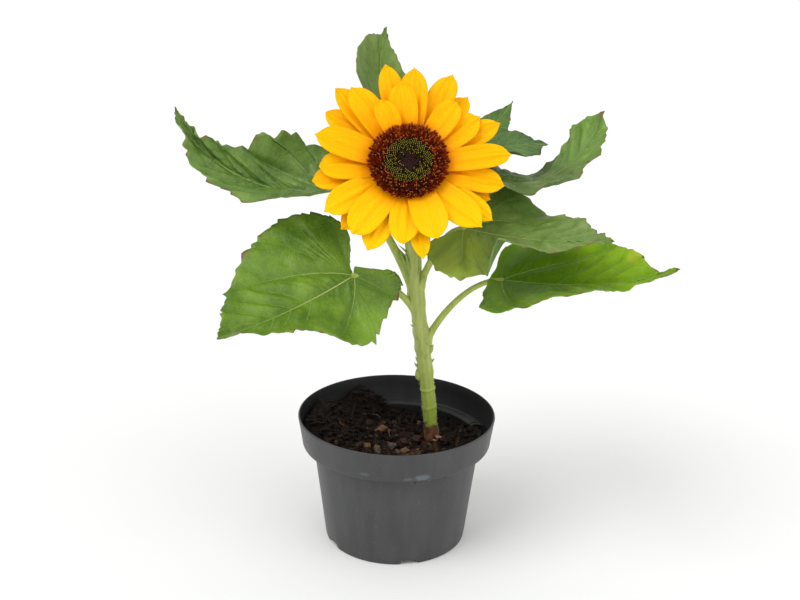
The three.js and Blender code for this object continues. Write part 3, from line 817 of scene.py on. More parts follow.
# Each leaf: from is the stem height where its stalk starts, start, arrive and approach
# shape the stalk, stout thickens it, and joint is where stalk and blade meet. pitch,
# droop, curl, heading, bend, roll and twist lay out the midrib; left and right halves are
# (width, lobe, fold, cup, sag), and sagging is where along each half the sag fades out.
# full, tail and blunt shape the tip, shift moves the joint sideways within the blade,
# laterals are where the two big side veins end (shares of length and half width).
# teeth is their depth, ruffle the waves of the edge (depth, count), puff the relief
# between the veins. bumps push the rim out: (place, spread, height), frills too:
# (from, to, height, count). greens are the dark and the light green of the upper side,
# shine its gloss, faint makes the veins greener, and spots lie on the flat blade:
# colour, x, y, radius, strength.
leafForms = {
    "low_right": {
        "from": 131, "start": (7, -1.5, 20), "joint": (65, -5, 181), "arrive": 22,
        "full": 0.2, "tail": 0.8, "length": 119, "pitch": 2, "droop": 21, "curl": 12, "heading": -28,
        "bend": -11,
        "roll": -2, "twist": 17, "left": (46, 0.08, 28, 0, 0), "right": (43, 0.05, 3, 7, -22),
        "laterals": ((0.56, 0.62), (0.3, 0.86)), "teeth": 0.9, "ruffle": (0.7, 4), "puff": 0.8,
        "bumps": {1: [(0, 0.07, 8), (0.72, 0.06, 2), (0.76, 0.04, 2), (0.93, 0.04, 3)],
                  -1: [(0, 0.08, 8), (0.24, 0.07, -5), (0.5, 0.06, -8), (0.68, 0.03, -8), (0.82, 0.06, 2)]},
        "greens": ("#628c06", "#8cb014"), "shine": 0.2,
        "spots": [("#466c08", 22, 8, 34, 0.75), ("#8ab31c", 84, 8, 40, 0.6), ("#b9bd30", 86, 19, 8, 0.5),
                  ("#5a3a1c", 92, 17, 1.6, 1.0), ("#5a3a1c", 88, 24, 1.2, 1.0), ("#6b4a33", 121, 0, 7, 1.0)],
    },
    "low_left": {
        "from": 146, "start": (-5, -2, 22), "joint": (-30.5, -19, 190), "arrive": 18,
        "approach": (-0.75, -0.55, 0.1),
        "full": 0.05, "length": 113, "pitch": -27, "droop": 40, "curl": -4, "heading": 211, "bend": 39,
        "roll": -38,
        "twist": 32, "left": (42.5, 0.20, 12, -3, -38), "right": (52, 0.12, 8, -1, 1), "shift": 4.5,
        "laterals": ((0.32, 0.8), (0.64, 0.6)), "teeth": 2.3, "ruffle": (1.0, 4), "puff": 1.0,
        "bumps": {1: [(0, 0.05, 4), (0.33, 0.07, -2.5), (0.44, 0.03, 2)], -1: [(0.13, 0.08, 2)]},
        "greens": ("#4f7414", "#789a2e"), "spots": [("#86ae34", 12, 44, 24, 0.6),
        ("#a8795c", 114, 0, 4, 0.8)],
    },
    "left": {
        "from": 164, "stout": 1.25, "start": (-7, 1, 20), "joint": (-41, 5, 235), "arrive": 24,
        "full": 0.1, "tail": 0.2, "faint": 0.12, "length": 128, "pitch": -14, "droop": 72, "curl": 18,
        "heading": 165,
        "bend": -3, "roll": -28, "twist": -32, "left": (41, 0.18, 35, 7, 0), "right": (27, 0.17, 41, 3, -40),
        "teeth": 2.2, "ruffle": (2.0, 5), "puff": 1.1, "frills": {-1: (0.2, 0.63, 11, 6)},
        "bumps": {1: [(0.85, 0.05, -2)], -1: [(0.75, 0.03, 2), (0.92, 0.05, 1.5)]},
        "greens": ("#4e7026", "#769640"), "spots": [("#4a2f3c", 128, 0, 4, 1.0)],
    },
    "front_right": {
        "from": 170, "start": (10, -3, 24), "joint": (39, -23, 219), "arrive": 12,
        "full": 0.3, "tail": 0.6, "faint": 0.05, "length": 98, "pitch": -7, "droop": 25, "curl": -8,
        "heading": -21,
        "bend": -23, "roll": -1, "twist": 33, "left": (43, 0.19, -1, -5, 27),
        "right": (39, 0.16, 10, 23, -53),
        "sagging": ((0.08, 0.42), (0.25, 0.34)), "laterals": ((0.66, 0.7), (0.12, 0.72)), "teeth": 1.8,
        "ruffle": (1.3, 4), "puff": 0.8,
        "bumps": {1: [(0.88, 0.05, 2)],
                  -1: [(0.36, 0.04, 3), (0.475, 0.035, -11), (0.55, 0.035, -12), (0.64, 0.04, 3),
                  (0.86, 0.06, -2)]},
        "greens": ("#5a792a", "#7c964a"), "spots": [("#95ad38", -4, -26, 34, 0.9),
        ("#7a7a4c", 36, -12, 14, 0.4)],
    },
    "back": {
        "from": 190, "start": (1, 8, 12), "joint": (9, 33, 222), "arrive": 12,
        "full": 0.2, "length": 88, "pitch": 8, "droop": -30, "curl": -10, "heading": 98, "bend": 8,
        "roll": -6,
        "twist": 10, "left": (36, 0.16, 10, -14, -10), "right": (34, 0.16, 12, -10, -6),
        "teeth": 1.1, "ruffle": (1.4, 4), "puff": 0.8, "greens": ("#4c7124", "#6c9040"),
    },
    "right": {
        "from": 203, "start": (8, 2, 14), "joint": (52, 4, 247), "arrive": 14,
        "full": 0.5, "blunt": 0.9, "faint": 0.45, "length": 103, "pitch": -27, "droop": 106, "curl": -14,
        "heading": 9,
        "bend": 29, "roll": -21, "twist": 46, "left": (34, 0.15, -6, -26, 45), "right": (33, 0.15, 6, 6, -28),
        "teeth": 1.5, "ruffle": (1.8, 5), "puff": 0.9,
        "bumps": {-1: [(0.53, 0.05, -2), (0.66, 0.05, -6), (0.74, 0.02, 2.5), (0.83, 0.09, -7),
        (0.95, 0.05, -3)],
                  1: [(0.6, 0.06, -4), (0.7, 0.05, 1.5)]},
        "greens": ("#4a6422", "#688236"), "spots": [("#7aa838", 84, 4, 30, 0.6), ("#8a4a38", 103, 0, 5, 0.9)],
    },
    "top": {
        "from": 212, "start": (-3, 8, 16), "joint": (-10, 25, 262), "arrive": 16,
        "full": 0.25, "tail": 0.3, "faint": 0.3, "length": 97, "pitch": 57, "droop": -26, "curl": -9,
        "heading": 104,
        "bend": -25, "roll": 37, "twist": -16, "left": (36, 0.12, 21, 13, 0), "right": (25, 0.12, 11, 0, 0),
        "teeth": 0.7, "ruffle": (0.8, 4), "puff": 0.7, "bumps": {-1: [(0.78, 0.1, -2.5)],
        1: [(0.85, 0.06, -3)]},
        "greens": ("#54701c", "#738e36"),
    },
    "small_upper": {
        "from": 219, "start": (4, 8, 12), "joint": (38.3, 46, 255.3), "arrive": 12,
        "full": 0, "faint": 0.5, "length": 64, "pitch": 6, "droop": 35, "curl": 0, "heading": 48, "bend": 3,
        "roll": 11,
        "twist": 5, "left": (18, 0.12, 10, 0, 0), "right": (20, 0.12, 6, -3, 0),
        "teeth": 0.5, "ruffle": (0.6, 3), "puff": 0.5, "greens": ("#41631c", "#5c8032"),
    },
    "small_lower": {
        "from": 211, "start": (8, 3, 12), "joint": (45, 13, 258), "arrive": 10,
        "full": 0.2, "faint": 0.5, "length": 62, "pitch": 8, "droop": -16, "curl": -1, "heading": 31,
        "bend": 6, "roll": 15,
        "twist": 25, "left": (20, 0.12, 3, -1, 0), "right": (22, 0.12, 10, 3, 16),
        "teeth": 0.6, "ruffle": (0.9, 3), "puff": 0.5, "bumps": {-1: [(0.74, 0.04, 3.0), (0.86, 0.04, -1.0)]},
        "greens": ("#3b5c22", "#567936"),
    },
}

# steps along and across half a blade, for a big leaf and a small one; the blade's
# thickness and how far a vein stands proud of its upper side
bladeForm = {"big": (290, 28), "small": (170, 18), "bigFrom": 80, "wall": 0.42, "proud": 0.09}


def direction(pitch, heading):
    p, h = np.radians(pitch), np.radians(heading)
    return np.stack([np.cos(p) * np.cos(h), np.cos(p) * np.sin(h), np.sin(p) + 0 * h], -1)


# Points and directions along the midrib: places, along, left and normal.
def midrib(form, steps=40):
    u = np.linspace(0, 1, steps + 1)
    curl = form["curl"] * np.maximum(0, (u - 0.6) / 0.4) ** 2
    heading = form["heading"] + form["bend"] * u
    along = direction(form["pitch"] + form["droop"] * u + curl, heading)
    level = direction(0 * u, heading + 90)
    up = np.cross(along, level)
    roll = np.radians(form["roll"] + form["twist"] * u)[:, None]
    left = level * np.cos(roll) + up * np.sin(roll)
    moves = np.vstack([np.zeros(3), along[:-1] * form["length"] / steps])
    return np.array(form["joint"]) + np.cumsum(moves, 0), along, left, np.cross(along, left)


# How far the midrib lies to the left of the blade's middle line at x.
def centreLine(form, x):
    return form.get("shift", 0) * np.clip(1 - x / form["length"], 0, 1.1) ** 1.3


# Where points of the flat blade lie, and which way its upper side faces there. x runs
# along the midrib and y to its left, in mm.
def onBlade(form, ribs, x, y):
    places, along, left, normal = ribs
    u = x / form["length"]
    at, t, l, n = between(np.clip(u, 0, 1), places, along, left, normal)
    centre = centreLine(form, x)
    aside = y - centre
    width, _, fold, cup, sag = (np.where(aside >= 0, p, q) for p, q in zip(form["left"], form["right"]))
    out = np.abs(aside)
    low, high = (np.where(aside >= 0, p, q) for p, q in zip(*form.get("sagging", ((0.05, 0.5), (0.05, 0.5)))))
    angle = fold + sag * (1 - smoothStep(u, low, high)) + cup * out / width / 2
    angle = np.radians(angle) * smoothStep(out, -2, 4)
    at = at + t * (np.minimum(u, 0) * form["length"])[:, None]
    at = at + l * (centre + aside * np.cos(angle))[:, None] + n * (out * np.sin(angle))[:, None]
    return at, n * np.cos(angle)[:, None] - l * (np.sign(aside) * np.sin(angle))[:, None]


# Half a heart-shaped outline from the joint (t = 0) round to the tip (t = 1), in mm.
def rimOf(form, side, t):
    width, lobe = (form["left"] if side > 0 else form["right"])[:2]
    full, tail, blunt = form["full"], form.get("tail", 0), form.get("blunt", 0)
    points = np.array([
        (0, 0), (-lobe, 0.40), (-0.72 * lobe, 0.74), (0.12, 1), (0.40, 0.86 + 0.08 * full),
        (0.68, (0.46 + 0.28 * full) * (1 - 0.1 * tail)),
        (0.88, (0.14 + 0.22 * full) * (1 - 0.7 * tail) + 0.2 * blunt), (1, 0),
    ])
    last = len(points) - 1
    place = np.clip(t, 0, 1) * last
    k = np.minimum(place.astype(int), last - 1)
    s = (place - k)[:, None]
    p0, p1 = points[np.maximum(k - 1, 0)], points[k]
    p2, p3 = points[k + 1], points[np.minimum(k + 2, last)]
    m1, m2 = (p2 - p0) / 2, (p3 - p1) / 2
    rim = (2 * p1 - 2 * p2 + m1 + m2) * s**3 + (-3 * p1 + 3 * p2 - 2 * m1 - m2) * s**2 + m1 * s + p1
    x, y = rim[:, 0] * form["length"], rim[:, 1] * width
    push = np.zeros(len(t))
    for at, spread, height in form.get("bumps", {}).get(side, []):
        push += height * bell(t, at, spread)
    if side in form.get("frills", {}):
        first, end, height, count = form["frills"][side]
        window = smoothStep(t, first, first + 0.08) * (1 - smoothStep(t, end - 0.03, end))
        waves = np.abs(np.sin(math.pi * count * (t - first) / (end - first)))
        push += height * window * (0.5 + 0.5 * np.sqrt(waves))
    outward = unit(np.stack([(x - 0.3 * form["length"]) * (1 - smoothStep(t, 0.45, 0.7)), y + 0.01], 1))
    x, y = x + push * outward[:, 0], y + push * outward[:, 1]
    return x, np.maximum(y, 0) * side


# Points of the flat blade on a lattice: t counts lines from the joint round to the tip
# and b runs out along each, from the midrib to the rim, as side veins do.
def onLine(form, side, t, b):
    rimX, rimY = rimOf(form, side, t)
    foot = 0.04 * np.minimum(t / 0.55, 1) + 0.96 * np.maximum(0, (t - 0.55) / 0.45) ** 1.15
    foot = np.minimum(foot, 1) * form["length"]
    footY = centreLine(form, foot)
    return arc(b, foot, foot + 0.3 * (rimX - foot), rimX), arc(b, footY, footY + 0.62 * (rimY - footY), rimY)


# Veins as (line, width at the start, width at the end, rank): the midrib is rank 0, the
# two big side veins 1, smaller ones 2 and 3.
def veinsOf(form, seed):
    draw = random.Random(seed)
    length = form["length"]
    s = np.linspace(0, 1, 16)[:, None]
    size = min(1, length / 100)

    x = s[:, 0] * length
    veins = [(np.stack([x, centreLine(form, x)], 1), 1.0 * size, 0.26, 0)]
    for side, (endU, endW) in zip((1, -1), form.get("laterals", ((0.6, 0.66), (0.6, 0.66)))):
        width, lobe = (form["left"] if side > 0 else form["right"])[:2]
        rimX, rimY = rimOf(form, side, np.linspace(0.43, 1, 80))
        joint = np.array([0.0, centreLine(form, np.zeros(1))[0]])
        end = np.array([endU * length, endW * width * side])
        bend = np.array([0.26 * endU * length, joint[1] * 0.5 + 0.62 * endW * width * side])
        lateral = arc(s, joint, bend, end)
        veins.append((lateral, 0.8 * size, 0.24, 1))
        backBend = np.array([-0.05 * length, 0.3 * width * side])
        back = arc(s, joint, backBend, np.array([-0.6 * lobe * length, 0.66 * width * side]))
        veins.append((back, 0.5 * size, 0.2, 2))
        parents = [(lateral, side, 0.3), (lateral, side, 0.5), (lateral, side, 0.72), (lateral, -side, 0.62)]
        for share in (0.3, 0.42, 0.54, 0.66, 0.77, 0.87):
            share = share + draw.uniform(-0.015, 0.015)
            footX = share * length
            foot = np.array([footX, float(centreLine(form, np.array([footX]))[0])])
            tipX = min(0.97, share + 0.2) * length
            tipY = float(np.interp(tipX, rimX, np.abs(rimY))) * (0.62 if share < 0.5 else 0.86) * side
            tip = np.array([tipX, tipY])
            line = arc(s, foot, (foot * 0.6 + tip * 0.4) + (0, 0.16 * tipY), tip)
            veins.append((line, 0.55 * size, 0.2, 2))
            parents += [(line, side, 0.45), (line, -side, 0.65)]
        for line, turn, share in parents:
            k = int(share * 15)
            start, ahead = line[k], line[min(k + 1, 15)] - line[k - 1]
            angle = math.radians(draw.uniform(34, 52)) * turn
            ahead = ahead / np.linalg.norm(ahead) * length * draw.uniform(0.1, 0.16)
            c, d = math.cos(angle), math.sin(angle)
            reach = np.array([c * ahead[0] - d * ahead[1], d * ahead[0] + c * ahead[1]])
            bow = np.array([-reach[1], reach[0]]) * -0.16 * turn
            veins.append((arc(s, start, start + reach / 2 + bow, start + reach), 0.3 * size, 0.14, 3))
    return veins


# Distance of points to the nearest vein of some ranks, and that vein's width there.
def nearestVein(points, veins, ranks):
    best = np.full(len(points), 1e9)
    widths = np.zeros(len(points))
    for line, startWidth, endWidth, rank in veins:
        if rank not in ranks:
            continue
        for i in range(len(line) - 1):
            p, run = line[i], line[i + 1] - line[i]
            share = np.clip(((points - p) @ run) / (run @ run + 1e-9), 0, 1)
            away = np.linalg.norm(points - (p + share[:, None] * run), axis=1)
            width = startWidth + (endWidth - startWidth) * (i + share) / (len(line) - 1)
            nearer = away - width < best - widths
            best = np.where(nearer, away, best)
            widths = np.where(nearer, width, widths)
    return best, widths


# Places and normals on a finished blade above points of its flat layout, and how far
# the points lie outside it.
def ontoBlade(bm, flatPoints):
    layer = bm.loops.layers.uv["surface"]
    bm.verts.index_update()
    bm.verts.ensure_lookup_table()
    flat, corners = [None] * len(bm.verts), []
    for loops in bm.calc_loop_triangles():
        for loop in loops:
            flat[loop.vert.index] = loop[layer].uv.to_3d()
        corners.append([loop.vert.index for loop in loops])
    tree = BVHTree.FromPolygons(flat, corners)
    found = []
    for x, y in flatPoints * mm:
        near, _, number, away = tree.find_nearest((x, y, 0))
        low = [flat[i] for i in corners[number]]
        high = [bm.verts[i].co for i in corners[number]]
        place = geometry.barycentric_transform(near, *low, *high)
        found.append([*place, *(high[1] - high[0]).cross(high[2] - high[0]).normalized(), away])
    found = np.array(found)
    return found[:, :3] / mm, found[:, 3:6], found[:, 6] / mm


# The veins: each is a ridge under the blade whose back shows as a thin line on top.
def veinRidges(bm, veins, faint):
    joined = bmesh.new()
    lines = []
    for line, *_ in veins:
        length = np.linalg.norm(np.diff(line, axis=0), axis=1).sum()
        lines.append(evenly(np.c_[line, np.zeros(len(line))], max(8, int(length / 1.3)))[:, :2])
    places, normals, outside = ontoBlade(bm, np.vstack(lines))
    start = 0
    for line, (_, startWidth, endWidth, rank) in zip(lines, veins):
        stop = start + len(line)
        off = np.flatnonzero(outside[start:stop] > 0.1)
        count = int(off[0]) if len(off) else len(line)
        centres, normal = places[start:start + count], normals[start:start + count]
        start = stop
        if count < 6:
            continue
        for _ in range(3):
            inner = normal[1:-1] * 2 + normal[:-2] + normal[2:]
            normal = unit(np.vstack([normal[:1], inner, normal[-1:]]))
        along = np.gradient(centres, axis=0)
        aside = unit(np.cross(normal, along) + 1e-9)
        share = np.linspace(0, 1, count)
        half = startWidth + (endWidth - startWidth) * share
        under = bladeForm["wall"] + half * 1.2
        ends = np.sqrt(np.clip(np.minimum(share * 12, (1 - share) * 5), 0.02, 1))

        def shape(a, b):
            k = np.rint(a * (count - 1)).astype(int)
            angle = b * math.pi
            deep = (bladeForm["proud"] + under[k]) / 2 * ends[k]
            points = centres[k] + aside[k] * (half[k] * ends[k] * np.sin(angle))[:, None]
            points = points + normal[k] * (deep * np.cos(angle) + bladeForm["proud"] * ends[k] - deep)[:,
                None]
            return {"points": points, "values": {"far": np.maximum(share[k], 0.3 * rank) + faint}}

        ridge = shapedGrid(count - 1, (10, 8, 6, 5)[rank], shape, 0.005)
        bmesh.ops.recalc_face_normals(ridge, faces=ridge.faces)
        join(joined, ridge)
    return joined


def toothDepth(t, count, seed):
    draw = random.Random(seed)
    sizes = np.array([draw.choice((0.3, 0.7, 1.0, 1.5)) * draw.uniform(0.8, 1.2) for _ in range(count + 2)])
    place = np.clip(t + 0.006 * np.sin(t * 70 + seed), 0, 1) * count
    k = place.astype(int)
    part = place - k
    return sizes[k] * np.where(part < 0.75, part / 0.75, (1 - part) / 0.25)


def bladeShape(form, veins, seed):
    ribs = midrib(form)
    depth, count = form["ruffle"]
    size = min(1, form["length"] / 100)

    def shape(a, b):
        b = np.sign(b) * np.abs(b) ** 1.4
        x, y = np.zeros(len(a)), np.zeros(len(a))
        teeth, wave = np.zeros(len(a)), np.zeros(len(a))
        for side in (1, -1):
            on = b >= 0 if side > 0 else b < 0
            x[on], y[on] = onLine(form, side, a[on], np.abs(b[on]))
            teeth[on] = toothDepth(a[on], 27 if form["length"] > bladeForm["bigFrom"] else 18, seed + side)
            wave[on] = np.sin(2 * math.pi * (a[on] * count + 0.31 * side + seed * 0.37))
            wave[on] += 0.5 * np.sin(2 * math.pi * (a[on] * count * 2.3 + 0.2 * side + seed * 0.11))
            if side in form.get("frills", {}):
                first, end, height, folds = form["frills"][side]
                window = smoothStep(a[on], first, first + 0.05) * (1 - smoothStep(a[on], end, end + 0.05))
                wave[on] += window * 0.8 * np.cos(math.pi * folds * (a[on] - first) / (end - first) + 0.8)
        out = np.abs(b)
        fade = smoothStep(a, 0.04, 0.16) * (1 - smoothStep(a, 0.93, 1.0))
        y = y * (1 + form["teeth"] * (teeth - 0.4) * fade * out**6 / np.maximum(np.abs(y), 6))
        flat = np.stack([x, y], 1)
        points, normals = onBlade(form, ribs, x, y)
        strong, strongWidth = nearestVein(flat, veins, (0, 1, 2))
        fine = nearestVein(flat, veins, (3,))[0]
        valley = bell(strong, 0, 2.6 * size + 2 * strongWidth)
        small = bell(fine, 0, 1.6 * size)
        bumps = rough(np.c_[flat, 0 * x], 9.0 * size, seed) + 0.5 * rough(np.c_[flat, 0 * x], 3.6, seed + 5)
        pleats = rough(np.stack([a * 46, b * 2.4, 0 * a], 1), 1.0, seed + 9) * (1 - 0.6 * out)
        inner = bell(y, centreLine(form, x), 12 * size) * (1 - smoothStep(a, 0.55, 0.95))
        wrinkles = rough(np.stack([a * 75, b * 3, 0 * a], 1), 1.0, seed + 3) * inner
        calm = smoothStep(strong, 0.3, 2.4) * smoothStep(np.hypot(x, y), 2, 14)
        lift = calm * (0.8 * bumps + 0.6 * pleats + 0.9 * wrinkles) + 2.0 * (1 - valley) + 0.6 * (1 - small)
        lift = lift * form["puff"]
        lift = lift + depth * wave * out**2.2 * fade
        lift = lift * (0.35 + 0.65 * smoothStep(x, -2, 6))
        hem = smoothStep(out, 0.94, 1.0) * smoothStep(teeth, 0.35, 0.9)
        values = {"valley": valley, "hem": hem}
        return {"points": points + normals * lift[:, None], "uv": flat, "values": values}

    return shape


# A sunflower blade from above: rough green skin whose short stiff hairs soften the
# light, pale veins, a fine crinkle between them and rusty tips on the teeth.
def leafTop(name, form, vein="#c2ca7e", rust="#7d4a34"):
    dark, light = form["greens"]
    material, tree, shader = newMaterial(name, {"IOR": 1.45, "Specular IOR Level": form.get("shine", 0.5)})
    surface = addNode(tree, "UVMap", uv_map="surface")
    patches, mottle, worn = (
        addNode(tree, "TexNoise", {"Vector": surface, "Scale": 1 / (size * mm), "Detail": detail})
        for size, detail in ((22, 2.0), (2.6, 4.0), (12, 1.0))
    )
    net = addNode(tree, "TexVoronoi", {"Vector": surface, "Scale": 1 / (1.9 * mm)},
        feature="DISTANCE_TO_EDGE")
    mixed = addNode(tree, "Math", {0: mottle, 1: 0.36, 2: patches}, operation="MULTIPLY_ADD")
    layers = []
    for hexColour, u, v, radius, strength in form.get("spots", []):
        centre = addNode(tree, "Mapping", {
            "Vector": surface, "Location": (-u / radius, -v / radius, 0), "Scale": (1 / (radius * mm),) * 3,
        })
        ball = addNode(tree, "TexGradient", {"Vector": centre}, gradient_type="SPHERICAL").outputs["Fac"]
        ragged = addNode(tree, "Math", {0: ball, 1: mixed}, operation="MULTIPLY")
        share = addNode(tree, "MapRange", {"Value": ragged, "From Min": 0.02, "From Max": 0.32,
            "To Max": strength})
        layers.append((share, hexColour))
    # the net, painted shade in the hollow beside each vein, and the rusty teeth
    lines = addNode(tree, "MapRange", {"Value": net, "From Max": 0.09, "To Min": 0.05, "To Max": 0.0})
    valley, hem = (addNode(tree, "Attribute", attribute_name=what).outputs["Fac"] for what in ("valley",
        "hem"))
    paintedFurrowShade = addNode(tree, "MapRange", {"Value": valley, "From Min": 0.1, "To Max": 0.4})
    wornShare = addNode(tree, "MapRange", {"Value": worn, "From Min": 0.47, "From Max": 0.56})
    rusted = addNode(tree, "Math", {0: hem, 1: wornShare}, operation="MULTIPLY")
    layers += [(lines, vein), (paintedFurrowShade, dark), (rusted, rust)]
    colour = addNode(tree, "ValToRGB", {"Fac": mixed}, [(0.5, dark), (0.86, light)])
    for share, over in layers:
        colour = addNode(tree, "Mix", {"Factor": share, "A": colour, "B": over}, data_type="RGBA")
    gloss = addNode(tree, "MapRange", {
        "Value": mixed, "From Min": 0.48, "From Max": 0.88, "To Min": 0.48, "To Max": 0.34,
    })
    crinkle = addNode(tree, "MapRange", {"Value": net, "From Max": 0.3})
    height = addNode(tree, "Math", {0: crinkle, 1: 0.5, 2: mottle}, operation="MULTIPLY_ADD")
    bump = addNode(tree, "Bump", {"Height": height, "Strength": 0.7, "Distance": 0.35 * mm})
    feed(tree, shader, {"Base Color": colour, "Roughness": gloss, "Normal": bump})
    return material


# The underside is paler and greyer, with less gloss and standing veins.
def leafUnder():
    material, tree, shader = newMaterial("leafUnderside",
        {"Roughness": 0.65, "IOR": 1.45, "Specular IOR Level": 0.2})
    surface = addNode(tree, "UVMap", uv_map="surface")
    mottle = addNode(tree, "TexNoise", {"Vector": surface, "Scale": 1 / (4 * mm), "Detail": 4.0})
    net = addNode(tree, "TexVoronoi", {"Vector": surface, "Scale": 1 / (1.9 * mm)},
        feature="DISTANCE_TO_EDGE")
    green = addNode(tree, "ValToRGB", {"Fac": mottle}, [(0.3, "#678447"), (0.7, "#84a05e")])
    lines = addNode(tree, "MapRange", {"Value": net, "From Max": 0.1, "To Min": 0.22, "To Max": 0.0})
    netted = addNode(tree, "Mix", {"Factor": lines, "A": green, "B": "#b4c494"}, data_type="RGBA")
    bump = addNode(tree, "Bump", {"Height": net, "Strength": 0.4, "Distance": -0.3 * mm})
    feed(tree, shader, {"Base Color": netted, "Normal": bump})
    return material


# Vein tissue: smooth and pale where a vein is thick, greener as it thins out.
def veinTissue():
    material, tree, shader = newMaterial("veinTissue", {"Roughness": 0.5, "IOR": 1.45,
        "Specular IOR Level": 0.25})
    far = addNode(tree, "Attribute", attribute_name="far").outputs["Fac"]
    place = addNode(tree, "TexCoord").outputs["Object"]
    mottle = addNode(tree, "TexNoise", {"Vector": place, "Scale": 1 / (3 * mm), "Detail": 2.0})
    mixed = addNode(tree, "Math", {0: mottle, 1: 0.4, 2: far}, operation="MULTIPLY_ADD")
    green = addNode(tree, "ValToRGB", {"Fac": mixed}, [(0.15, "#ccd391"), (0.6, "#a0b362"), (1.0, "#7a9648")])
    bump = addNode(tree, "Bump", {"Height": mottle, "Strength": 0.3, "Distance": 0.1 * mm})
    feed(tree, shader, {"Base Color": green, "Normal": bump})
    return material


# a stalk's radius at the stem and at the blade, for blades of full length or more
stalkForm = {"footRadius": 2.9, "tipRadius": 1.5, "fullLength": 90, "swelling": 1.9}


def stalkCurve(form):
    k = int(np.argmin(np.abs(stemLine[:, 2] - form["from"])))
    foot = stemLine[k]
    joint = onBlade(form, midrib(form), np.zeros(1), centreLine(form, np.zeros(1)))[0][0]
    approach = form.get("approach")
    approach = unit(approach) if approach else direction(form["pitch"], form["heading"])
    return bezierCurve(foot, foot + form["start"], joint - approach * form["arrive"], joint + approach * 1.5)


def stalkRadius(form, share):
    f = stalkForm
    size = min(1, form["length"] / f["fullLength"]) * form.get("stout", 1)
    return size * (f["footRadius"] + (f["tipRadius"] - f["footRadius"]) * np.sqrt(share))


def makeLeaf(name, form, index, underside, veinSkin, stalkSkin):
    veins = veinsOf(form, 20 + index)
    steps, halves = bladeForm["big" if form["length"] > bladeForm["bigFrom"] else "small"]
    bm = shapedGrid(steps, 2 * halves, bladeShape(form, veins, index), 0.02)
    addPiece(veinRidges(bm, veins, form.get("faint", 0)), "veins_" + name, [veinSkin])
    blade = addPiece(bm, "blade_" + name, [leafTop("leafTop_" + name, form), underside],
        ["leaf_" + name])
    thicken(blade, bladeForm["wall"], -1)
    # stalk, with a wide foot on the stem and five faint ridges along it
    line = stalkCurve(form)
    length = np.linalg.norm(np.diff(line, axis=0), axis=1).sum()

    def radiusAt(share, angle, height):
        foot = stalkForm["swelling"] * bell(share * length, 4.5, 4.0) * min(1,
            form["length"] / stalkForm["fullLength"])
        return stalkRadius(form, share) + foot + 0.12 * np.cos(5 * angle)

    addPiece(limb(line, radiusAt, 110, 24), "stalk_" + name, [stalkSkin], ["petiole_" + name])


makeStem()
stemHairs = hairsOn(stemLine, lambda k: stemRadius(k / (len(stemLine) - 1), stemLine[k, 2]), 2600, 41)
print("stem")
stalkSkin = stemSkin("hairyStalkSkin", *skinColours["stalk"])
underside = leafUnder()
veinSkin = veinTissue()
stalkHairs = []
for index, (name, form) in enumerate(leafForms.items()):
    makeLeaf(name, form, index, underside, veinSkin, stalkSkin)
    stalk = stalkCurve(form)
    count = int(7 * form["length"])
    stalkHairs += hairsOn(stalk, lambda k: stalkRadius(form, k / (len(stalk) - 1)), count, 60 + index,
        (0.3, 0.8))
    print("leaf", name)
hairSkin = plainSkin("plantHair", "#e4ead0", 0.6)
addPiece(scatter(hair(), stemHairs), "stemHairs", [hairSkin], smooth=False)
addPiece(scatter(hair(), stalkHairs), "stalkHairs", [hairSkin], smooth=False)


# ---- flower

# Ray petals whorl by whorl, each (bearing, reach, width); foot and lift place a whorl.
whorlForms = {
    "back": {"foot": -7.6, "lift": 3, "petals": [
        (52, 58.5, 13), (144, 61, 14), (190, 57.5, 14.5), (227, 55.5, 14), (337, 52, 13)]},
    "middle": {"foot": -5.6, "lift": 7, "petals": [
        (26, 60.5, 14), (67, 64, 15), (102, 66, 13.5), (133, 65.5, 14), (182.5, 52.5, 16),
        (212.5, 57.5, 16), (247, 59, 15), (278.5, 60, 10.8), (324, 60, 14), (348, 57.5, 14.5)]},
    "front": {"foot": -3.6, "lift": 11, "petals": [
        (4.5, 60, 14), (34.5, 51.5, 16), (87, 60.5, 15.5), (126, 58.5, 15.5),
        (163.5, 57.5, 16.5), (235, 56, 17.5), (268, 51.5, 16.5), (315, 59, 16.5)]},
    "top": {"foot": -1.6, "lift": 15, "petals": [(52, 46.5, 14.5), (95.5, 50, 15), (290, 52, 18)]},
    "crest": {"foot": 0.4, "lift": 24, "petals": [(115, 40, 12.5)]},
}

petalForm = {
    "thickness": 0.35,
    "baseWidth": 0.8,
    "spread": 1.13,
    "widest": 0.5,
    "blunt": (0.5, 0.8),
    "channel": 1.0,
    "folds": 0.5,
    "tipDroop": 2.2,
    "steps": 60,
    "halfSteps": 12,
    "ribDepth": 0.2,
}


def petalWidth(s, blunt):
    f = petalForm
    early = f["baseWidth"] + (1 - f["baseWidth"]) * np.sin(math.pi / 2 * s / f["widest"])
    late = (1 - np.clip((s - f["widest"]) / (1 - f["widest"]), 0, 1) ** 2.6) ** blunt
    return np.where(s < f["widest"], early, late)


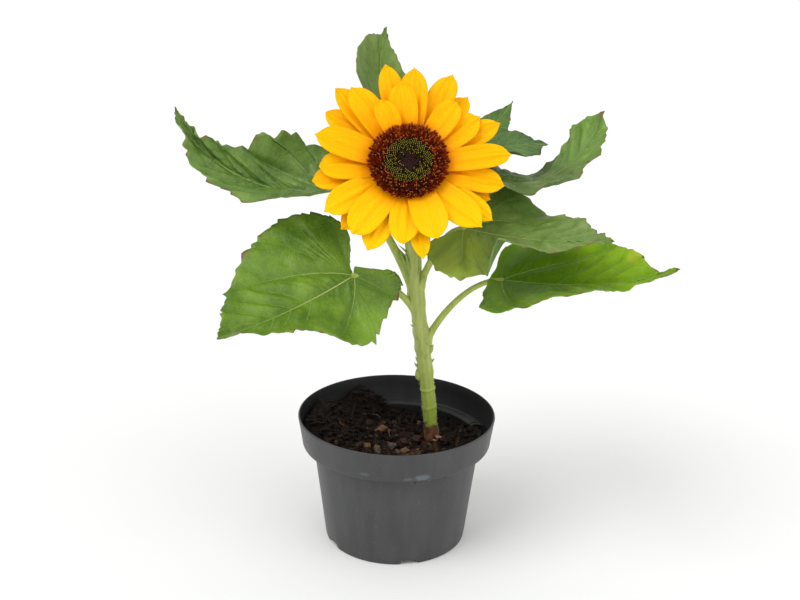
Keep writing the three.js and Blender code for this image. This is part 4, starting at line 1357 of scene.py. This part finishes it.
def petalShape(whorl, petal, seed):
    draw = random.Random(seed)
    bearing, reach, width = petal
    width = width * petalForm["spread"]
    start = headForm["discRadius"] - 2.2
    length = reach - start
    twist = draw.uniform(-7, 7)
    sway = draw.uniform(-1.2, 1.2)
    cut = draw.uniform(0.02, 0.07)
    notch = draw.choice((0, 0, 0.03, 0.05))
    notchAt = draw.uniform(-0.35, 0.35)
    phase = draw.uniform(0, 6)
    ruffle = draw.uniform(0.3, 0.9)
    lean = draw.uniform(-0.6, 0.6)
    blunt = draw.uniform(*petalForm["blunt"])

    def shape(a, b):
        f = petalForm
        a = 1 - (1 - a) ** 1.5
        ends = 1 - cut * b**2 - notch * bell(b, notchAt, 0.16)
        s = a * (1 - a**5 * (1 - ends))
        wide = petalWidth(a, blunt)
        slope = math.tan(math.radians(whorl["lift"])) * length * s
        folds = f["folds"] * np.cos(2.6 * math.pi * b + lean) * smoothStep(a, 0.0, 0.35)
        rise = slope + wide * (f["channel"] * b**2 + folds) - f["tipDroop"] * a**3
        aside = b * width * wide / 2
        turn = np.radians(twist) * a
        aside, rise = aside * np.cos(turn), rise + aside * np.sin(turn)
        edge = ruffle * np.sin(5.5 * a + phase) * np.abs(b) ** 2 * a
        points = headPoint(bearing, start + length * s, aside + sway * a**2, whorl["foot"] + rise + edge)
        ribs = f["ribDepth"] * np.cos(13 * b + 0.6 * np.sin(4 * a)) * smoothStep(a, 0, 0.2)
        uv = np.stack([s * length, b * width / 2], 1)
        return {"points": points, "uv": uv, "lift": ribs, "values": {"reach": a, "across": b}}

    return shape


# Fresh ray petal: soft golden yellow with a silky shine, orange at its foot (partly its own
# colour, partly painted shade where the petals overlap) and deeper orange along its edges as
# painted shade; finely ribbed lengthwise; light passes through it a little.
def petalSkin(name, foot, body, tip):
    material, tree, shader = newMaterial(name, {
        "Roughness": 0.55, "IOR": 1.42, "Specular IOR Level": 0.1, "Subsurface Weight": 0.2,
        "Subsurface Radius": (3.0 * mm, 1.2 * mm, 0.1 * mm),
    })
    surface = addNode(tree, "UVMap", uv_map="surface")
    reach, across = (addNode(tree, "Attribute", attribute_name=what).outputs["Fac"] for what in ("reach",
        "across"))
    blur = addNode(tree, "TexNoise", {"Vector": surface, "Scale": 1 / (9 * mm), "Detail": 2.0})
    shifted = addNode(tree, "Math", {0: blur, 1: 0.22, 2: reach}, operation="MULTIPLY_ADD")
    stretched = addNode(tree, "Mapping", {"Vector": surface, "Scale": (1 / (22 * mm), 1 / (0.9 * mm), 1)})
    ribs = addNode(tree, "TexNoise", {"Vector": stretched, "Scale": 1.0, "Detail": 2.0})
    ribShare = addNode(tree, "MapRange", {"Value": ribs, "From Min": 0.48, "From Max": 0.75, "To Max": 0.4})
    aside = addNode(tree, "Math", {0: across}, operation="ABSOLUTE")
    # deeper orange along the edges: painted shade where the petals overlap
    paintedEdgeShade = addNode(tree, "MapRange", {"Value": aside, "From Min": 0.82, "To Max": 0.22})
    # orange at the foot: partly its own colour, partly painted shade where the petals overlap
    colour = addNode(tree, "ValToRGB", {"Fac": shifted}, [(0.1, foot), (0.42, body), (0.95, tip)])
    for share in (ribShare, paintedEdgeShade):
        colour = addNode(tree, "Mix", {"Factor": share, "A": colour, "B": foot}, data_type="RGBA")
    bump = addNode(tree, "Bump", {"Height": ribs, "Strength": 0.3, "Distance": 0.25 * mm})
    feed(tree, shader, {"Base Color": colour, "Normal": bump})
    return material


def makePetals():
    skins = [
        petalSkin("petalGold", "#ee8d00", "#ffb500", "#ffc000"),
        # a paler copy for the lower petals: painted light
        petalSkin("petalLemonPaintedLight", "#f39a00", "#ffc000", "#ffca00"),
        # a slightly deeper copy for the back whorl: painted shade
        petalSkin("petalAmberPaintedShade", "#ee9000", "#ffb400", "#ffbe00"),
    ]
    seed = 0
    for whorlName, whorl in whorlForms.items():
        for i, petal in enumerate(whorl["petals"]):
            seed += 1
            bm = shapedGrid(petalForm["steps"], 2 * petalForm["halfSteps"], petalShape(whorl, petal, seed),
                0.02)
            # the back whorl takes the painted-shade copy and the lower petals the painted-light copy
            low = 190 < petal[0] < 345
            skin = skins[2] if whorlName == "back" else skins[1] if low else skins[0]
            node = f"petal_{whorlName}_{i + 1}"
            piece = addPiece(bm, f"ray_{whorlName}_{i + 1}", [skin], [node])
            thicken(piece, petalForm["thickness"])


makePetals()
print("petals")

# how far out the dark core, the closed buds and the open florets reach; pitch spaces the
# spiral and turn is its golden angle
discForm = {"core": 4.4, "green": 14.0, "edge": 21.7, "pitch": 0.62, "turn": 137.508, "seed": 31}


def discHeight(radius):
    edge = headForm["discRadius"]
    return np.interp(radius, [0, edge * 0.4, edge * 0.72, edge - 1.5, edge], [0.5, 1.1, 1.6, 0.8, -0.4])


def makeDiscGround():
    def surface(a, b):
        bearing = 180 * b
        radius = a * (headForm["discRadius"] - 2.2)
        return {"points": headPoint(bearing, radius, 0 * a, discHeight(radius) - 1.4)}

    bm = shapedGrid(24, 72, surface, 0.02)
    rim = [e for e in bm.edges if e.is_boundary]
    wall = bmesh.ops.extrude_edge_only(bm, edges=rim)["geom"]
    down = Vector(-headAxis * (headForm["discDepth"] - 1.5) * mm)
    bmesh.ops.translate(bm, vec=down, verts=[v for v in wall if isinstance(v, bmesh.types.BMVert)])
    bmesh.ops.holes_fill(bm, edges=[e for e in bm.edges if e.is_boundary], sides=0)
    bmesh.ops.recalc_face_normals(bm, faces=bm.faces)
    addPiece(bm, "discGround", [plainSkin("discFlesh", "#451d0d", 0.8)], ["flower_disc"])


# An open floret: a slim tube that ends in five pointed lobes, 1 high and 1 wide.
def openFloret():
    bm = bmesh.new()
    bmesh.ops.create_cone(bm, cap_ends=False, segments=5, radius1=0.2, radius2=0.42, depth=0.62)
    bmesh.ops.translate(bm, vec=(0, 0, 0.31), verts=bm.verts)
    top = [e for e in bm.edges if all(v.co.z > 0.5 for v in e.verts)]
    for edge in top:
        middle = (edge.verts[0].co + edge.verts[1].co) / 2
        tip = bm.verts.new(middle * 1.25 + Vector((0, 0, 0.36)))
        bm.faces.new([edge.verts[0], edge.verts[1], tip])
    column = bmesh.ops.create_cone(bm, cap_ends=True, segments=4, radius1=0.13, radius2=0.05, depth=0.9)
    bmesh.ops.translate(bm, vec=(0, 0, 0.6), verts=column["verts"])
    return bm


# A closed bud: a small blunt point with six sides.
def closedBud():
    bm = bmesh.new()
    bmesh.ops.create_cone(bm, cap_ends=True, segments=6, radius1=0.5, radius2=0.34, depth=0.7)
    bmesh.ops.translate(bm, vec=(0, 0, 0.35), verts=bm.verts)
    cap = bmesh.ops.create_cone(bm, cap_ends=False, segments=6, radius1=0.34, radius2=0.05, depth=0.3)
    bmesh.ops.translate(bm, vec=(0, 0, 0.85), verts=cap["verts"])
    bmesh.ops.remove_doubles(bm, verts=bm.verts, dist=0.01)
    return bm


# Two curled tips that stand out of an open floret.
def forkedTip():
    bm = bmesh.new()
    for side in (1, -1):
        arm = bmesh.ops.create_cone(bm, cap_ends=True, segments=4, radius1=0.12, radius2=0.07,
            depth=0.7)["verts"]
        turn = Matrix.Rotation(side * 0.9, 4, "Y")
        bmesh.ops.transform(bm, matrix=Matrix.Translation((side * 0.24, 0, 0.18)) @ turn, verts=arm)
    return bm


# name: template, colour, roughness
discKinds = {
    "floretMaroon": (openFloret, "#86290c", 0.6), "floretRust": (openFloret, "#b64f10", 0.6),
    "floretTips": (forkedTip, "#e89c48", 0.6), "budCore": (closedBud, "#453842", 0.4),
    "budOlive": (closedBud, "#1f1a08", 0.5), "budGreen": (closedBud, "#454312", 0.5),
    "budTips": (closedBud, "#e6dc5e", 0.5),
}


def makeFlorets():
    f = discForm
    draw = random.Random(f["seed"])
    kinds = {name: [] for name in discKinds}
    for i in range(int((f["edge"] / f["pitch"]) ** 2)):
        radius = f["pitch"] * math.sqrt(i + 0.5)
        bearing = math.degrees(i * math.radians(f["turn"]))
        outward = headPoint(bearing, 1.0, 0, 0) - headPoint(bearing, 0, 0, 0)
        point = headPoint(bearing, radius, 0, float(discHeight(radius)) - 1.0)
        if radius < f["green"]:
            # closed buds, small and leaning in at the middle, most with a pale tip
            share = radius / f["green"]
            aim = headAxis + outward * (-0.25 * (1 - share))
            wide, tall = 0.62 + 0.5 * share, 1.25 + 0.5 * share
            kind = "budCore" if radius < f["core"] * draw.uniform(0.6,
                1.75) else draw.choice(("budOlive", "budGreen"))
            kinds[kind].append(placed(point, aim, draw.uniform(0, 1), (wide, wide, tall)))
            if radius > f["core"] * draw.uniform(0.9, 2.3) and draw.random() < 0.85:
                tip = point + unit(aim) * tall * 0.93
                kinds["budTips"].append(placed(tip, aim, bearing, (0.4, 0.4, 0.55)))
        elif i % 2 == 0 or radius > f["edge"] - 2:
            # open florets, taller and leaning out towards the petals
            far = (radius - f["green"]) / (f["edge"] - f["green"])
            aim = headAxis + outward * (far**1.5 * 1.1 + draw.gauss(0, 0.22))
            aim = aim + np.cross(headAxis, outward) * draw.gauss(0, 0.22)
            tall = draw.uniform(2.6, 3.7) * (0.75 + 0.35 * far)
            wide = draw.uniform(1.5, 2.0)
            kind = "floretRust" if draw.random() < 0.3 else "floretMaroon"
            kinds[kind].append(placed(point, aim, draw.uniform(0, 6), (wide, wide, tall)))
            if draw.random() < 0.55 * (1 - far) + 0.2:
                tip = point + unit(aim) * tall
                kinds["floretTips"].append(placed(tip, aim, draw.uniform(0, 6), (1.0, 1.0, 1.1)))
    for name, (template, colour, roughness) in discKinds.items():
        skin = plainSkin(name + "Skin", colour, roughness)
        addPiece(scatter(template(), kinds[name]), name, [skin], smooth=False)
    print("florets:", sum(len(places) for places in kinds.values()))


makeDiscGround()
makeFlorets()
print("disc")

bractForm = {
    # rows of bracts round the back of the head: count, length, width, start radius, height and spread angle
    "rows": [(15, 26, 10.5, 15, -13.5, 8), (17, 22, 9.5, 19, -10.5, 22), (13, 15, 8, 22, -8.8, 40)],
    # the receptacle's section: radius and place along the head's axis
    "profile": [(0, -19), (5.5, -18.4), (8.5, -17), (15, -14.6), (21, -11.6), (23.6, -9.2), (23.6, -7.4),
    (0, -7.2)],
    "thickness": 0.4,
    "seed": 51,
}


# Bracts and receptacle: the leafy green back of the flower head.
def makeFlowerBase():
    profile = np.array(bractForm["profile"])

    def surface(a, b):
        radius, forward = between(a, profile)[0].T
        return {"points": headPoint(-180 * b, radius, 0 * a, forward)}

    bm = shapedGrid(49, 64, surface, 0.02)
    bmesh.ops.recalc_face_normals(bm, faces=bm.faces)
    green = stemSkin("receptacleSkin", "#8fa75a", "#6f8c40")
    addPiece(bm, "receptacle", [green], ["flower_base"])
    draw = random.Random(bractForm["seed"])
    joined = bmesh.new()
    for count, length, width, start, height, lift in bractForm["rows"]:
        for i in range(count):
            bearing = 360 / count * i + draw.uniform(-6, 6)
            long = length * draw.uniform(0.85, 1.15)
            wide = width * draw.uniform(0.85, 1.1)
            rise = math.radians(lift + draw.uniform(-6, 6))
            back = draw.uniform(0, 4)

            def bract(a, b):
                half = wide / 2 * np.sin(math.pi * np.minimum(1, a * 0.86 + 0.14)) ** 0.8 * (1 - a**3 * 0.6)
                out = start + long * a * math.cos(rise)
                up = height + long * a * math.sin(rise) * 0.35 + 1.2 * b**2 * (1 - a) - back * a**2.5
                return {"points": headPoint(bearing, out, b * half, up),
                    "uv": np.stack([a * long, b * half], 1)}

            join(joined, shapedGrid(14, 6, bract, 0.02))
    piece = addPiece(joined, "bracts", [stemSkin("bractSkin", "#7f9c4c", "#5f7f34")])
    thicken(piece, bractForm["thickness"])


makeFlowerBase()
print("flower base")
